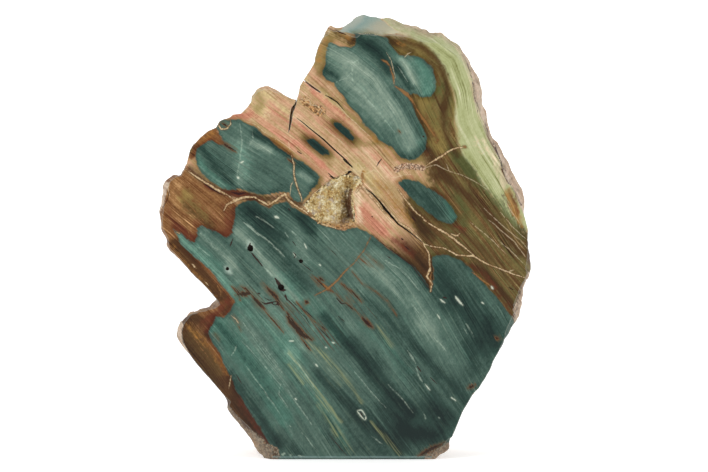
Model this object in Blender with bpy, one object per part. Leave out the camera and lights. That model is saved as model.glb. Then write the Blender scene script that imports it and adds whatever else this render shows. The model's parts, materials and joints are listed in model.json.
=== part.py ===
"""A free-standing piece of petrified bog wood: one sawn and polished face, broken and weathered
sides and back, a flat sawn base, and a druse-lined pocket in the polished face.

It is modelled in the polished face's own frame, where X runs to the right, Y goes into the stone
and Z runs up the face. Each object is then leaned back, so that the sawn base is level at Z = 0.
"""

import math

import bmesh
import bpy
import numpy as np
from mathutils import Matrix, Vector, noise
from mathutils.geometry import delaunay_2d_cdt

# Driving dimensions, in metres and degrees.
HEIGHT = 0.1786  # from the sawn base to the highest point, along the polished face
THICK_BASE = 0.047  # front to back at the foot
THICK_TOP = 0.031  # front to back at the crown
LEAN = math.radians(4.0)  # how far the polished face leans back
RIM_SLOPE = 1.15  # depth of the rough rim behind the polish, for its width
RIM_REACH = (0.0022, 0.0095)  # the least and the most depth of that rim
BACK_INSET = 0.006  # how far the back's edge lies inside the silhouette
EVENED = 0.016  # length over which the outline's small steps are lost towards the back
SIDE_HOLLOW = 0.005  # deepest broad hollow in the sides
LEDGE_STEP = 0.031  # spacing of the splintered ledges on the back
LEDGE_RISE = 0.0042
RIM_SHARES = (0, 0.4, 0.8)  # the loft's rings down the rough rim, and on from it to the back
BACK_SHARES = (0, 0.1, 0.22, 0.36, 0.5, 0.64, 0.78, 0.9, 1)
ARRIS = 0.0008  # the ground-off front edge of the base
FIT = 0.0003  # clearance between the druse crust and its pocket
COLUMN = 0.0032  # longest step along the outline
BACK_STEP = 0.0044  # spacing of the points over the broken back
CRUST_STEP = 0.0013  # spacing of the points over the druse
POCKET_DEPTH = 0.0105
FLAT_ANGLE = 0.01  # faces nearer to flat than this, in radians, are merged
CRACK_DEPTH = 0.0035

# Places on the face are picked in the photograph's pixels, and worked out in metres from the height.
TOP_PX = 13.0
BASE_PX = 459.5
MIDDLE_PX = 344.75
PIXEL = HEIGHT / (BASE_PX - TOP_PX)
HEART_PX = (345.0, 245.0)  # every part of the outline can be seen from this point
BELOW_PX = 484.0  # the outline runs on below the base, where the saw cut takes it off

# The silhouette, clockwise from the foot's left corner, and the width of the rough rim there.
OUTLINE_PX = [
    (268, BELOW_PX, 8), (264, 459, 10), (256, 449, 9), (245, 434, 7), (234, 420, 5), (226.5, 410, 4),
    (227, 402, 2), (222, 393, 0), (210, 379, 0), (196, 363, 0), (185, 350, 1.5), (178, 341, 4.5),
    (176, 334, 6), (177, 327, 5), (181, 321, 4), (187, 316, 2), (192, 314, 0), (204, 311, 0),
    (215, 308, 0), (219.5, 304.5, 0), (218, 301, 0), (212, 294, 0), (206, 287, 0), (197, 278, 0),
    (190, 271, 0), (180, 259, 0), (170, 250, 0.5), (167, 245, 1.5), (167, 239, 1), (160, 230, 3),
    (161, 222, 1), (158.5, 213, 4), (160, 205, 4), (162, 193, 4), (161.5, 186, 6), (165, 179.5, 5),
    (172, 174.5, 3), (180, 175, 1), (184, 168, 1), (186, 164, 0.5), (188, 158, 0), (190, 150, 0),
    (193, 144, 1), (200, 137, 0.5), (208, 131, 0), (216, 127.5, 0), (220, 121, 0), (224, 119, 0),
    (229, 118, 0), (233, 114.5, 0), (241, 113.5, 0), (247, 107.5, 0), (251, 102, 0), (252, 95, 2),
    (256, 89, 3), (262, 86, 4), (268, 85, 4), (273, 88, 2.5), (281, 92.5, 1), (290, 98, 0),
    (296, 100, 0), (298, 96, 0), (300, 86, 0), (303.5, 80, 0), (309, 72, 0), (314.5, 63, 0),
    (315, 58, 0), (318, 48, 0), (321, 41, 1), (325, 33, 2), (330, 25, 6), (334, 28, 4),
    (339, 29, 3), (344, 26.5, 6), (352, 20, 13), (358, 15, 19), (363, 13, 22), (369, 15.5, 20),
    (377, 16.5, 20), (386, 18.5, 18), (398, 20.5, 16), (410, 24, 14), (420, 27, 14), (430, 30.5, 13),
    (440, 32, 12), (446, 35, 11), (452, 39.5, 11), (458, 43, 11), (462, 48, 9), (468, 57, 8),
    (473, 67, 7), (478, 76, 8), (481, 83, 9), (482, 92, 8), (483, 103, 7), (485, 110, 7),
    (488, 119, 7), (490, 127, 6), (494, 138, 7), (500, 144, 8), (505, 151, 9), (509, 160, 9),
    (512, 168, 9), (514, 174, 9), (519, 184, 8), (523, 190, 8), (525.5, 200, 7), (525, 208, 4),
    (523.5, 211, 1), (525, 218, 0), (528, 230, 0), (527.5, 240, 0), (529, 250, 1), (530.5, 258, 3),
    (531, 268, 5), (530, 274, 3), (527, 280, 2), (524, 289, 4), (523, 298, 6), (521.5, 308, 8),
    (521, 314, 7), (518, 319, 6), (510, 332, 4), (505, 340, 1), (498, 353, 0), (493, 361, 0),
    (490, 370, 0), (485, 378, 0), (479, 388, 0), (473, 394, 0), (469, 401, 0), (463, 411, 0),
    (460, 418, 0), (456, 428, 0), (452, 437, 0), (449.5, 442, 2), (449, 448, 5), (446, 453, 7),
    (440, 456, 7), (436, 459, 5), (434, BELOW_PX, 4),
]

# Open cracks in the face: the line each follows, and its width at the middle.
CRACKS_PX = {
    "notch": ([(297, 98), (295.5, 104), (292.5, 108), (291, 116), (290, 124), (288.5, 132)], 2.4),
    "upper": ([(302, 79), (311, 86), (317, 90), (321, 92.5)], 1.8),
    "upper_tail": ([(325, 95), (331, 98), (337, 102), (344, 110)], 1.3),
    "long": ([(297, 118), (308, 127), (323, 139), (338, 153), (346, 160), (353, 167)], 1.4),
    "ledge": ([(329, 176), (335, 178.5), (342, 177), (350, 173)], 2.0),
    "lower": ([(366, 189), (373, 194), (380, 202), (389, 213), (398, 224), (408, 231), (422, 242)], 1.8),
}
# Small round holes: place and radius.
PITS_PX = [(250.5, 248.5, 3.4), (227.3, 268.8, 1.9), (281, 287, 3.2), (301, 261, 2.2)]
# The pocket, and the line along its right wall where it is deepest.
POCKET_PX = [
    (303, 205), (312, 196), (322, 187), (333, 178.5), (341, 176), (350, 175.5), (358, 176),
    (362, 180), (357, 186), (353, 191), (351.5, 196), (353.5, 203), (355, 213), (354.5, 222),
    (350, 226), (344, 229), (337, 228), (327, 224.5), (318, 223), (313, 215), (307, 209),
]
DEEP_PX = ((348, 197), (350, 217))
GRAIN = math.radians(-42.0)  # the wood's grain runs down to the right
# Broken planes round the sides: bearing, depth at which each leaves the silhouette, and lean inwards.
CHIPS = [
    (99, 0.010, 34), (66, 0.013, 25), (40, 0.016, 37), (10, 0.013, 27), (-20, 0.012, 33),
    (119, 0.012, 41), (138, 0.009, 30), (160, 0.013, 38), (182, 0.011, 28), (208, 0.010, 30),
]
# Broad planes across the back: bearing, depth behind the heart, and lean inwards.
BACK_PLANES = [(150, 0.0405, 77), (18, 0.0415, 79), (262, 0.0465, 85), (78, 0.0395, 78)]
STEEP = math.radians(60.0)  # planes that lean more than this are laid across the back


def on_face(px, py):
    """A pixel of the photograph as (x, z) on the polished face."""
    return np.array([(px - MIDDLE_PX) * PIXEL, (BASE_PX - py) * PIXEL])


HEART = on_face(*HEART_PX)


def soft(low, high, value):
    """0 below low, 1 above high, and an even S between."""
    t = min(1.0, max(0.0, (value - low) / (high - low)))
    return t * t * (3 - 2 * t)


def lump(x, y, z, size, seed=0.0):
    """Smooth noise from about -1 to 1, with swells of about this size."""
    return 1.6 * noise.noise(Vector((x / size + seed, y / size - seed, z / size + 0.5 * seed)))


def outline_columns():
    """The outline with long steps halved: silhouette places, edge of the polish inside them, and rim depths."""
    corners = [(*on_face(px, py), rim * PIXEL) for px, py, rim in OUTLINE_PX]
    columns = []
    for here, following in zip(corners, corners[1:] + corners[:1]):
        here, following = np.array(here), np.array(following)
        count = max(1, math.ceil(np.linalg.norm((following - here)[:2]) / COLUMN))
        columns += [here + (following - here) * k / count for k in range(count)]
    columns = np.array(columns)
    outer, rim = columns[:, :2], columns[:, 2]
    along = np.roll(outer, -1, 0) - np.roll(outer, 1, 0)
    normal = np.stack([-along[:, 1], along[:, 0]], 1) / np.linalg.norm(along, axis=1)[:, None]
    ray = outer - HEART
    reach = np.linalg.norm(ray, axis=1)
    facing = np.clip(np.abs((normal * ray).sum(1)) / reach, 0.5, 1.0)
    polished = HEART + ray * (1 - rim / facing / reach)[:, None]
    return outer, polished, np.clip(RIM_SLOPE * rim, *RIM_REACH)


def evened(outer):
    """The silhouette's distance from the heart with its small steps smoothed away, but no hollow filled."""
    reach = np.linalg.norm(outer - HEART, axis=1)
    smooth = []
    for here in outer:
        weight = np.exp(-((np.linalg.norm(outer - here, axis=1) / EVENED) ** 2))
        smooth.append((weight * reach).sum() / weight.sum())
    return np.minimum(reach, np.array(smooth))


def broken_planes(outer):
    """The broken planes, each as a place and the direction that it faces."""
    planes = []
    for turn, depth, lean in CHIPS + BACK_PLANES:
        turn, lean = math.radians(turn), math.radians(lean)
        outwards = np.array([math.cos(turn), math.sin(turn)])
        edge = outer[np.argmax(outer @ outwards)]
        place = edge if lean < STEEP else HEART
        x, z = outwards * math.cos(lean)
        planes.append((np.array([place[0], depth, place[1]]), np.array([x, math.sin(lean), z])))
    return planes


def room_across(planes, ray, depth):
    """How far from the heart, along a level ray at this depth, the nearest plane lies."""
    room = 1.0
    start = np.array([HEART[0], depth, HEART[1]])
    for place, facing in planes:
        towards = facing[0] * ray[0] + facing[2] * ray[1]
        if towards > 0.01:
            room = min(room, (place - start) @ facing / towards)
    return room


def thickness(planes, x, z):
    """Depth of the back at a place: thinner towards the crown, and never beyond a plane."""
    rise = min(1.0, max(0.0, z / HEIGHT))
    depth = THICK_BASE + (THICK_TOP - THICK_BASE) * rise**1.2
    for place, facing in planes:
        depth = min(depth, place[1] + (facing[0] * (place[0] - x) + facing[2] * (place[2] - z)) / facing[1])
    return depth


def broken_reach(planes, place, even, depth, back_share):
    """The broken side's distance from the heart, behind a place of the silhouette."""
    ray = place - HEART
    reach = np.linalg.norm(ray)
    ray = ray / reach
    hollow = 0.5 * (1 + lump(place[0], depth, place[1], 0.027, 5.0)) * soft(0.0, 0.3, back_share)
    reach += (min(reach, even) - reach) * soft(0.1, 0.9, back_share)
    reach -= SIDE_HOLLOW * hollow + BACK_INSET * back_share**3
    return ray, min(reach, room_across(planes, ray, depth))


def column(planes, place, polished, rim, even):
    """One column of the loft: from the edge of the polish, over the silhouette, to the back edge."""
    points = []
    for share in RIM_SHARES:
        x, z = polished + (place - polished) * share
        points.append(Vector((x, rim * share, z)))
    back = thickness(planes, *place)
    for _ in range(4):
        ray, reach = broken_reach(planes, place, even, back, 1.0)
        back = thickness(planes, *(HEART + ray * reach))
    for share in BACK_SHARES:
        depth = rim + (back - rim) * share
        ray, reach = broken_reach(planes, place, even, depth, share)
        x, z = HEART + ray * reach
        points.append(Vector((x, depth, z)))
    return points


def roughness(place, facing):
    """How far the broken surface stands out at a place: swells, and splintered ledges along the grain."""
    x, y, z = place
    across = z * math.cos(GRAIN) - x * math.sin(GRAIN)
    along = x * math.cos(GRAIN) + z * math.sin(GRAIN)
    step = across / LEDGE_STEP + 0.9 * lump(along, 0.4 * y, 0.6 * across, 0.06, 11.0)
    share = step - math.floor(step)
    broken = soft(0.3, 0.9, facing.y) * (0.55 + 0.45 * lump(along, 0, across, 0.035, 2.0))
    ledge = (soft(0.0, 0.13, share) - share) * LEDGE_RISE * broken
    swell = 0.0016 * lump(x, y, z, 0.036, 3.0) + 0.0006 * lump(x, y, z, 0.013, 7.0)
    return (swell + ledge) * soft(RIM_REACH[1], 2.2 * RIM_REACH[1], y)


def inside(point, loop):
    """Whether a point lies in a closed outline."""
    x, z = point
    crossings = 0
    for (ax, az), (bx, bz) in zip(loop, loop[1:] + loop[:1]):
        if (az > z) != (bz > z) and x < ax + (z - az) * (bx - ax) / (bz - az):
            crossings += 1
    return crossings % 2 == 1


def edge_distance(point, loop):
    """Distance from a point to the nearest side of a closed outline."""
    p = Vector(point)
    best = 1.0
    for a, b in zip(loop, loop[1:] + loop[:1]):
        a, b = Vector(a), Vector(b)
        t = min(1.0, max(0.0, (p - a).dot(b - a) / (b - a).length_squared))
        best = min(best, (p - a - t * (b - a)).length)
    return best


def filled(loop, step):
    """A flat mesh over a closed outline, with points about a step apart inside: places and triangles."""
    low, high = np.min(loop, 0), np.max(loop, 0)
    points = [Vector(p) for p in loop]
    row, z = 0, low[1]
    while step and z < high[1]:
        x = low[0] + (0.5 * step if row % 2 else 0.0)
        while x < high[0]:
            shift = 0.28 * step
            spot = (x + shift * lump(x, 0, z, step, 1.0), z + shift * lump(x, 0, z, step, 9.0))
            if inside(spot, loop) and edge_distance(spot, loop) > 0.55 * step:
                points.append(Vector(spot))
            x += step
        row, z = row + 1, z + 0.866 * step
    sides = [(k, (k + 1) % len(loop)) for k in range(len(loop))]
    places, _, faces, *_ = delaunay_2d_cdt(points, sides, [], 1, 1e-7)
    return places, faces


def cut_flat(bm, place, normal):
    """Saws off what lies beyond a plane, and closes the cut."""
    cut = bmesh.ops.bisect_plane(
        bm, geom=bm.verts[:] + bm.edges[:] + bm.faces[:], dist=1e-6,
        plane_co=place, plane_no=normal, clear_outer=True,
    )
    edges = [e for e in cut["geom_cut"] if isinstance(e, bmesh.types.BMEdge)]
    bmesh.ops.holes_fill(bm, edges=edges, sides=0)


def close_end(bm, ring, step, depth_at):
    """Closes a ring with a face whose points lie about a step apart, at the depth given for each."""
    places, faces = filled([(v.co.x, v.co.z) for v in ring], step)
    known = list(ring) + [bm.verts.new((p.x, depth_at(p.x, p.y), p.y)) for p in places[len(ring):]]
    for face in faces:
        bm.faces.new([known[k] for k in face])


def slab_mesh():
    """The stone itself: a loft from the polished face to the back, roughened and sawn off at the base."""
    outer, polished, rim_depth = outline_columns()
    planes = broken_planes(outer)
    bm = bmesh.new()
    columns = []
    for place, inner, rim, even in zip(outer, polished, rim_depth, evened(outer)):
        columns.append([bm.verts.new(p) for p in column(planes, place, inner, rim, even)])
    for here, following in zip(columns, columns[1:] + columns[:1]):
        for k in range(len(here) - 1):
            bm.faces.new((here[k], following[k], following[k + 1], here[k + 1]))
    close_end(bm, [c[0] for c in columns], 0, lambda x, z: 0.0)
    close_end(bm, [c[-1] for c in columns], BACK_STEP, lambda x, z: thickness(planes, x, z))
    bmesh.ops.triangulate(bm, faces=bm.faces)
    bmesh.ops.recalc_face_normals(bm, faces=bm.faces)
    bm.normal_update()
    moves = [v.normal * roughness(v.co, v.normal) for v in bm.verts]
    for vert, move in zip(bm.verts, moves):
        vert.co += move
    cut_flat(bm, (0, 0, 0), (0, math.sin(LEAN), -math.cos(LEAN)))
    cut_flat(bm, (0, 0, ARRIS), (0, -1, -1))
    bmesh.ops.triangulate(bm, faces=bm.faces)
    bmesh.ops.recalc_face_normals(bm, faces=bm.faces)
    mesh = bpy.data.meshes.new("petrified_wood")
    bm.to_mesh(mesh)
    bm.free()
    return mesh


def material(name, colour, roughness):
    """A plain Principled surface."""
    made = bpy.data.materials.new(name)
    made.use_nodes = True
    shader = made.node_tree.nodes["Principled BSDF"]
    shader.inputs["Base Color"].default_value = (*colour, 1)
    shader.inputs["Roughness"].default_value = roughness
    shader.inputs["Metallic"].default_value = 0.0
    return made


def placed(name, mesh, collection, shift):
    """An object from a mesh in the face's frame, leaned back and set on the origin."""
    obj = bpy.data.objects.new(name, mesh)
    obj.rotation_euler = (-LEAN, 0, 0)
    obj.location = shift
    collection.objects.link(obj)
    return obj


def prism_mesh(name, loop, front, back):
    """A flat outline in the face's plane, made a straight-sided cutter from one depth to another."""
    curve = bpy.data.curves.new(name, "CURVE")
    curve.dimensions = "2D"
    curve.fill_mode = "BOTH"
    curve.extrude = (back - front) / 2
    spline = curve.splines.new("POLY")
    spline.points.add(len(loop) - 1)
    for point, (x, z) in zip(spline.points, loop):
        point.co = (x, z, 0, 1)
    spline.use_cyclic_u = True
    carrier = bpy.data.objects.new(name, curve)
    bpy.context.scene.collection.objects.link(carrier)
    bpy.context.view_layer.update()
    graph = bpy.context.evaluated_depsgraph_get()
    mesh = bpy.data.meshes.new_from_object(carrier.evaluated_get(graph))
    bpy.data.objects.remove(carrier)
    bm = bmesh.new()
    bm.from_mesh(mesh)
    bmesh.ops.remove_doubles(bm, verts=bm.verts, dist=1e-6)
    bmesh.ops.transform(bm, verts=bm.verts, matrix=Matrix.Rotation(math.radians(90), 4, "X"))
    bmesh.ops.translate(bm, verts=bm.verts, vec=(0, (front + back) / 2, 0))
    bmesh.ops.recalc_face_normals(bm, faces=bm.faces)
    bm.to_mesh(mesh)
    bm.free()
    return mesh


def crack_loop(path_px, width_px):
    """A slit that follows a line of points and tapers to both ends."""
    path = [on_face(*p) for p in path_px]
    left, right = [], []
    for k, here in enumerate(path):
        along = path[min(k + 1, len(path) - 1)] - path[max(k - 1, 0)]
        side = np.array([-along[1], along[0]]) / np.linalg.norm(along)
        share = k / (len(path) - 1)
        half = 0.5 * width_px * PIXEL * (0.18 + 0.82 * math.sin(math.pi * share))
        left.append(tuple(here + side * half))
        right.append(tuple(here - side * half))
    return left + right[::-1]


def pit_loop(px, py, radius_px, corners=7):
    """A small irregular hole."""
    x, z = on_face(px, py)
    loop = []
    for k in range(corners):
        turn = 2 * math.pi * k / corners
        radius = radius_px * PIXEL * (1 + 0.25 * lump(px + k, 0, py, 1.3, 4.0))
        loop.append((x + radius * math.cos(turn), z + radius * math.sin(turn)))
    return loop


def crust_depth(x, z):
    """How far the druse lies behind the face: shallow at the left, deepest along the right wall."""
    (ax, az), (bx, bz) = (on_face(*p) for p in DEEP_PX)
    t = min(1.0, max(0.0, ((x - ax) * (bx - ax) + (z - az) * (bz - az)) / ((bx - ax) ** 2 + (bz - az) ** 2)))
    away = math.hypot(x - ax - t * (bx - ax), z - az - t * (bz - az))
    knobs = 0.0007 * lump(x, 0, z, 0.0023, 6.0) + 0.0006 * lump(x, 0, z, 0.0055, 8.0)
    return 0.0016 + 0.0058 * math.exp(-((away / 0.0042) ** 1.4)) + knobs


def crust_mesh():
    """The druse that lines the pocket, as one closed crust."""
    pocket = [on_face(*p) for p in POCKET_PX]
    middle = np.mean(pocket, 0)
    loop = []
    for here, following in zip(pocket, pocket[1:] + pocket[:1]):
        for share in (0.0, 0.5):
            spot = here + (following - here) * share
            ray = spot - middle
            loop.append(tuple(middle + ray * (1 - 2.0 * FIT / np.linalg.norm(ray))))
    places, faces = filled(loop, CRUST_STEP)
    bm = bmesh.new()
    known = [bm.verts.new((p.x, 0, p.y)) for p in places]
    sheet = [bm.faces.new([known[k] for k in face]) for face in faces]
    pulled = bmesh.ops.extrude_face_region(bm, geom=sheet)
    floor = [v for v in pulled["geom"] if isinstance(v, bmesh.types.BMVert)]
    for vert in known:
        vert.co.y = crust_depth(vert.co.x, vert.co.z)
    for vert in floor:
        vert.co.y = POCKET_DEPTH - FIT
    flat_edges = {e for v in floor for e in v.link_edges if e.other_vert(v) in floor}
    bmesh.ops.dissolve_limit(bm, angle_limit=FLAT_ANGLE, verts=floor, edges=list(flat_edges))
    bmesh.ops.triangulate(bm, faces=bm.faces)
    bmesh.ops.recalc_face_normals(bm, faces=bm.faces)
    mesh = bpy.data.meshes.new("pocket_druse")
    bm.to_mesh(mesh)
    bm.free()
    return mesh


def centring_shift(mesh):
    """Where a leaned mesh has to stand to have its footprint's box centred on the origin."""
    lean = Matrix.Rotation(-LEAN, 3, "X")
    places = np.array([lean @ v.co for v in mesh.vertices])
    middle = (places.min(0) + places.max(0)) / 2
    return Vector((-middle[0], -middle[1], 0))


def main():
    for old in list(bpy.data.objects):
        bpy.data.objects.remove(old)
    stone = bpy.data.collections.new("petrified_bog_wood")
    cutters = bpy.data.collections.new("cutters")
    for collection in (stone, cutters):
        bpy.context.scene.collection.children.link(collection)

    mesh = slab_mesh()
    shift = centring_shift(mesh)
    slab = placed("petrified_wood", mesh, stone, shift)
    slab.data.materials.append(material("polished_jasperised_wood", (0.10, 0.22, 0.19), 0.25))
    druse = placed("pocket_druse", crust_mesh(), stone, shift)
    druse.data.materials.append(material("druse", (0.55, 0.42, 0.18), 0.6))

    outside = -0.002
    loops = {"pocket": ([tuple(on_face(*p)) for p in POCKET_PX], POCKET_DEPTH)}
    for name, (path, width) in CRACKS_PX.items():
        loops["crack_" + name] = (crack_loop(path, width), CRACK_DEPTH)
    for number, pit in enumerate(PITS_PX):
        loops[f"pit_{number}"] = (pit_loop(*pit), pit[2] * PIXEL * 1.6)
    for name, (loop, depth) in loops.items():
        cutter = placed(name, prism_mesh(name, loop, outside, depth), cutters, shift)
        cutter.hide_render = True
        cutter.display_type = "WIRE"
    hollow = slab.modifiers.new("hollows", "BOOLEAN")
    hollow.operation = "DIFFERENCE"
    hollow.operand_type = "COLLECTION"
    hollow.collection = cutters
    hollow.solver = "EXACT"
    for obj in (slab, druse):
        obj.data.shade_smooth()
        obj.data.set_sharp_from_angle(angle=math.radians(35))


main()
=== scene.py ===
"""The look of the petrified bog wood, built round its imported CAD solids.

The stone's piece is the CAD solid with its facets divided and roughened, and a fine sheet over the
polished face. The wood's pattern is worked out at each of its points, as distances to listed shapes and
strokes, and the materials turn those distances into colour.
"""

import json
import math
from types import SimpleNamespace

import bmesh
import bpy
import numpy as np
from mathutils import Matrix, Vector, noise
from mathutils.geometry import delaunay_2d_cdt
from mathutils.kdtree import KDTree

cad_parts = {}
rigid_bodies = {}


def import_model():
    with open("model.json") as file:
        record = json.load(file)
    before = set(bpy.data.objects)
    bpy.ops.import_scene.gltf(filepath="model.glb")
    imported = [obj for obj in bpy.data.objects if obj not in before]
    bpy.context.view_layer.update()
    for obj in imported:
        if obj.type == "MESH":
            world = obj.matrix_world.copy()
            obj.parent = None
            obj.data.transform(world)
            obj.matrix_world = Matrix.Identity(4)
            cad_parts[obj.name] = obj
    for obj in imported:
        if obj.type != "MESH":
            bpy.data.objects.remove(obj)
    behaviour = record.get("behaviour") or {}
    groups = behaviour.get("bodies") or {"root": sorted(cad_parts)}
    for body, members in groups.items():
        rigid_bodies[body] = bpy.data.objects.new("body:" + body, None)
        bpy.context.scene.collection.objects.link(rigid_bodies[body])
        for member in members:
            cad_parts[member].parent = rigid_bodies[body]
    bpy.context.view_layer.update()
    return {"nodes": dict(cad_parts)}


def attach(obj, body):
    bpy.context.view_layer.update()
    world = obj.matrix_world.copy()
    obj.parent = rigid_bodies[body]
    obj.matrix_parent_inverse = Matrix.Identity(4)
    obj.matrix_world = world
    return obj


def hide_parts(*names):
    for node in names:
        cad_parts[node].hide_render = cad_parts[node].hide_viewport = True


# How the polished face lies in the world and in the photograph.
LEAN = math.radians(4.0)
PIXEL = 0.0004  # metres of the stone for each pixel of the photograph
MM = 1000 * PIXEL
MIDDLE_PX = 344.75
BASE_PX = 459.5
AIM_PX = (354.0, 236.0)
PHOTO_WIDTH = 708
TO_FACE = np.array(Matrix.Rotation(LEAN, 3, "X"))

# Fineness of the meshes, in metres.
SKIN_STEP = 0.0013
FACE_STEP = 0.0011
FINE_STEP = 0.00042
DRUSE_STEP = 0.0007
POINT_GAP = 0.0003  # least distance of the sheet's points from its edge and from those along thin marks
WELD = 2e-6  # doubled points of the solids are nearer than this
FLAT = 3e-5  # points of the solid nearer to the face's plane than this belong to the polish

# The pattern's lines, in pixels.
EDGE_RIPPLE = 0.6  # how far small waves push the edges of the zones
MARK_RIPPLE = 0.4  # how far they push the crisp marks
DRIFT = 34  # how far the zones stray behind the face
FADE = 6  # how much the crisp marks shrink behind it
THIN = 1.2  # the half width from which a mark needs more than rows of points
MARK_STEP = 0.8  # spacing of the points along a thin mark
SIDE_STEP = 1.5  # spacing of the points along its sides
SIDE_GAP = 0.8  # how far outside the mark those lie
DOUBLED = 0.35  # cells of this size keep one point each where thin marks meet

# Relief of the broken surface, in metres.
BROAD_FIBRES = 0.0004
NARROW_FIBRES = 0.00014
LEDGES = 0.001
LEDGE_WIDTH = 0.0052
GRAINS = 0.0004
SWELLS = 0.0005
CRACKS = 0.0007
WALLS = 0.00022  # on the walls of cracks, pits and the pocket
CRUMBS = 0.0006  # on the patches of the face that took no polish

# The druse: how many crystals stand on the crust and round its rim, their size and their lean.
CRYSTALS = 1500
RIM_CRYSTALS = 420
CRYSTAL_SIZE = (0.0004, 0.0012)
CRYSTAL_LEAN = 0.55
RIM_DEPTH = (0.0002, 0.0011)

# Light: each lamp's place and watts, the surroundings' brightness and the sheet's own glow.
LAMPS = {"key": ((-0.9, -0.9, 1.2), 11), "fill": ((1.1, -0.8, 0.8), 6.5)}
LAMP_SIZE = 1.0
LAMP_AIM = (0, 0, 0.08)
WORLD_FRONT = 0.25
WORLD_BACK = 0.9
FLOOR_GLOW = 0.35
WALL_GLOW = 0.75
SHEET_REACH = 12.0
SHEET_FLAT = 2.2
SHEET_BEND = 0.8
SHEET_HEIGHT = 4.0
CAMERA_DISTANCE = 1.5
SENSOR = 36.0  # the camera's width, in millimetres

# Shapes of the wood's pattern on the face, in the photograph's pixels.
TEAL = {
    "main": [
        (173, 229), (180, 233), (188, 239), (194.6, 243), (197, 235), (196.6, 228), (202, 226), (211, 229),
        (219, 234), (226, 238), (231, 234), (233.5, 225), (235, 215), (236, 206), (242, 202), (255, 200),
        (262, 204), (269, 208), (276, 204), (286, 201), (294, 207), (303, 213), (312, 217), (318, 224),
        (327, 226), (337, 229.5), (345, 230), (352, 226.5), (360, 228), (366, 231), (375, 238), (388, 248),
        (400, 257), (412, 266), (421, 275), (427, 284), (431, 291), (433, 280), (432, 256), (440, 255),
        (450, 256), (462, 261), (472, 270), (480, 279), (490, 290), (499, 300), (508, 312), (516, 325),
        (505, 350), (470, 410), (450, 450), (430, 480), (290, 480), (272, 448), (262, 430), (253, 417),
        (244, 402), (236, 390), (231, 377), (224, 365), (219, 352), (211, 342), (208, 332), (213, 324),
        (216, 316), (224, 318), (231, 310), (235, 301), (229, 294), (220, 284), (210, 270), (196, 258),
        (181, 246),
    ],
    "upper_left": [
        (216, 127), (221, 120), (231, 119), (239, 119), (246, 123), (256, 128), (262, 133), (272, 141),
        (278, 147), (288, 154), (294, 157), (303, 162.5), (312, 169), (319.5, 176.5), (318, 184),
        (309, 193), (302, 202), (294, 201), (288, 192), (278, 193), (265, 195), (252, 193), (239, 189),
        (229, 190.5), (220, 187), (211, 181.5), (202, 174), (197, 166), (194.5, 157), (197, 148.5),
        (206, 143), (212, 140), (218, 144), (226, 145), (219, 134),
    ],
    "lens": [
        (330, 42), (340, 46), (351, 47.5), (356, 44), (354.7, 33), (366, 33), (384.6, 36), (391, 45),
        (399.5, 55), (406, 56), (414, 54.7), (424, 59), (432.7, 68), (436, 79.6), (435, 91), (431, 97),
        (422.7, 97.8), (414.5, 93), (409, 95), (411, 101), (416, 112.8), (421, 124.4), (425, 133),
        (427, 141), (426, 148), (419.4, 157.5), (409.5, 161), (402.8, 159), (396, 152.6), (391, 146),
        (378.8, 141), (374.6, 134), (366, 127.7), (358, 116), (349.8, 106), (343, 96), (337, 89.6),
        (334, 83), (326, 81), (322, 74.6), (324.9, 66), (326.5, 54.7), (327.3, 44.8),
    ],
    "spot": [
        (397.8, 183), (406, 179), (416, 180.5), (426, 186), (436, 193), (446, 199.6), (452.6, 209.5),
        (457.5, 217.8), (452.6, 224.5), (444, 222.8), (432.7, 216), (422.7, 207.9), (412.8, 199.6),
        (404.5, 191),
    ],
    "fleck": [
        (305.6, 138), (312, 138), (321, 144.6), (329, 151), (329, 155), (322, 154.8), (313, 148.5),
        (307, 142),
    ],
    "fleck_right": [
        (333, 122), (340, 123), (348, 130), (355, 138), (352, 142), (343, 135), (335, 128),
    ],
}
RUST = [
    (120, 150), (186, 166), (193, 172), (202, 179), (215, 187), (229, 196), (237, 206), (250, 230),
    (300, 330), (300, 480), (120, 480),
]
RUST_SHOULDER = [
    (196, 130), (208, 125), (216, 128), (221, 135), (227, 145), (218, 150), (205, 152), (190, 160),
    (184, 150),
]
HUMUS = [
    (385, 34), (398, 33), (412, 36), (424, 41), (440, 54), (450, 70), (456, 90), (458, 112), (456, 130),
    (460, 145), (468, 160), (481, 182), (493, 199), (508, 214), (520, 227), (532, 240), (545, 262),
    (545, 330), (520, 330), (500, 312), (480, 290), (462, 275), (450, 268), (438, 266), (426, 262),
    (422, 243), (412, 228), (405, 214), (401, 202), (410, 192), (422, 187), (434, 185), (432, 176),
    (430, 165), (429, 154), (420, 142), (412, 120), (404, 100), (396, 84), (388, 62), (380, 50),
]
BARK = [
    (398, 33), (388, 24), (378, 14), (378, 6), (395, 8), (430, 18), (452, 26), (466, 40), (478, 62),
    (482, 86), (484, 106), (490, 124), (498, 140), (506, 155), (512, 172), (517, 190), (524, 208),
    (532, 225), (526, 234), (515, 226), (504, 214), (494, 200), (483, 186.5), (474, 172), (463.4, 158),
    (457, 141), (453, 121.5), (455, 105), (453, 92), (449, 82), (440, 64), (426, 47), (408, 37),
]
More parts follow.
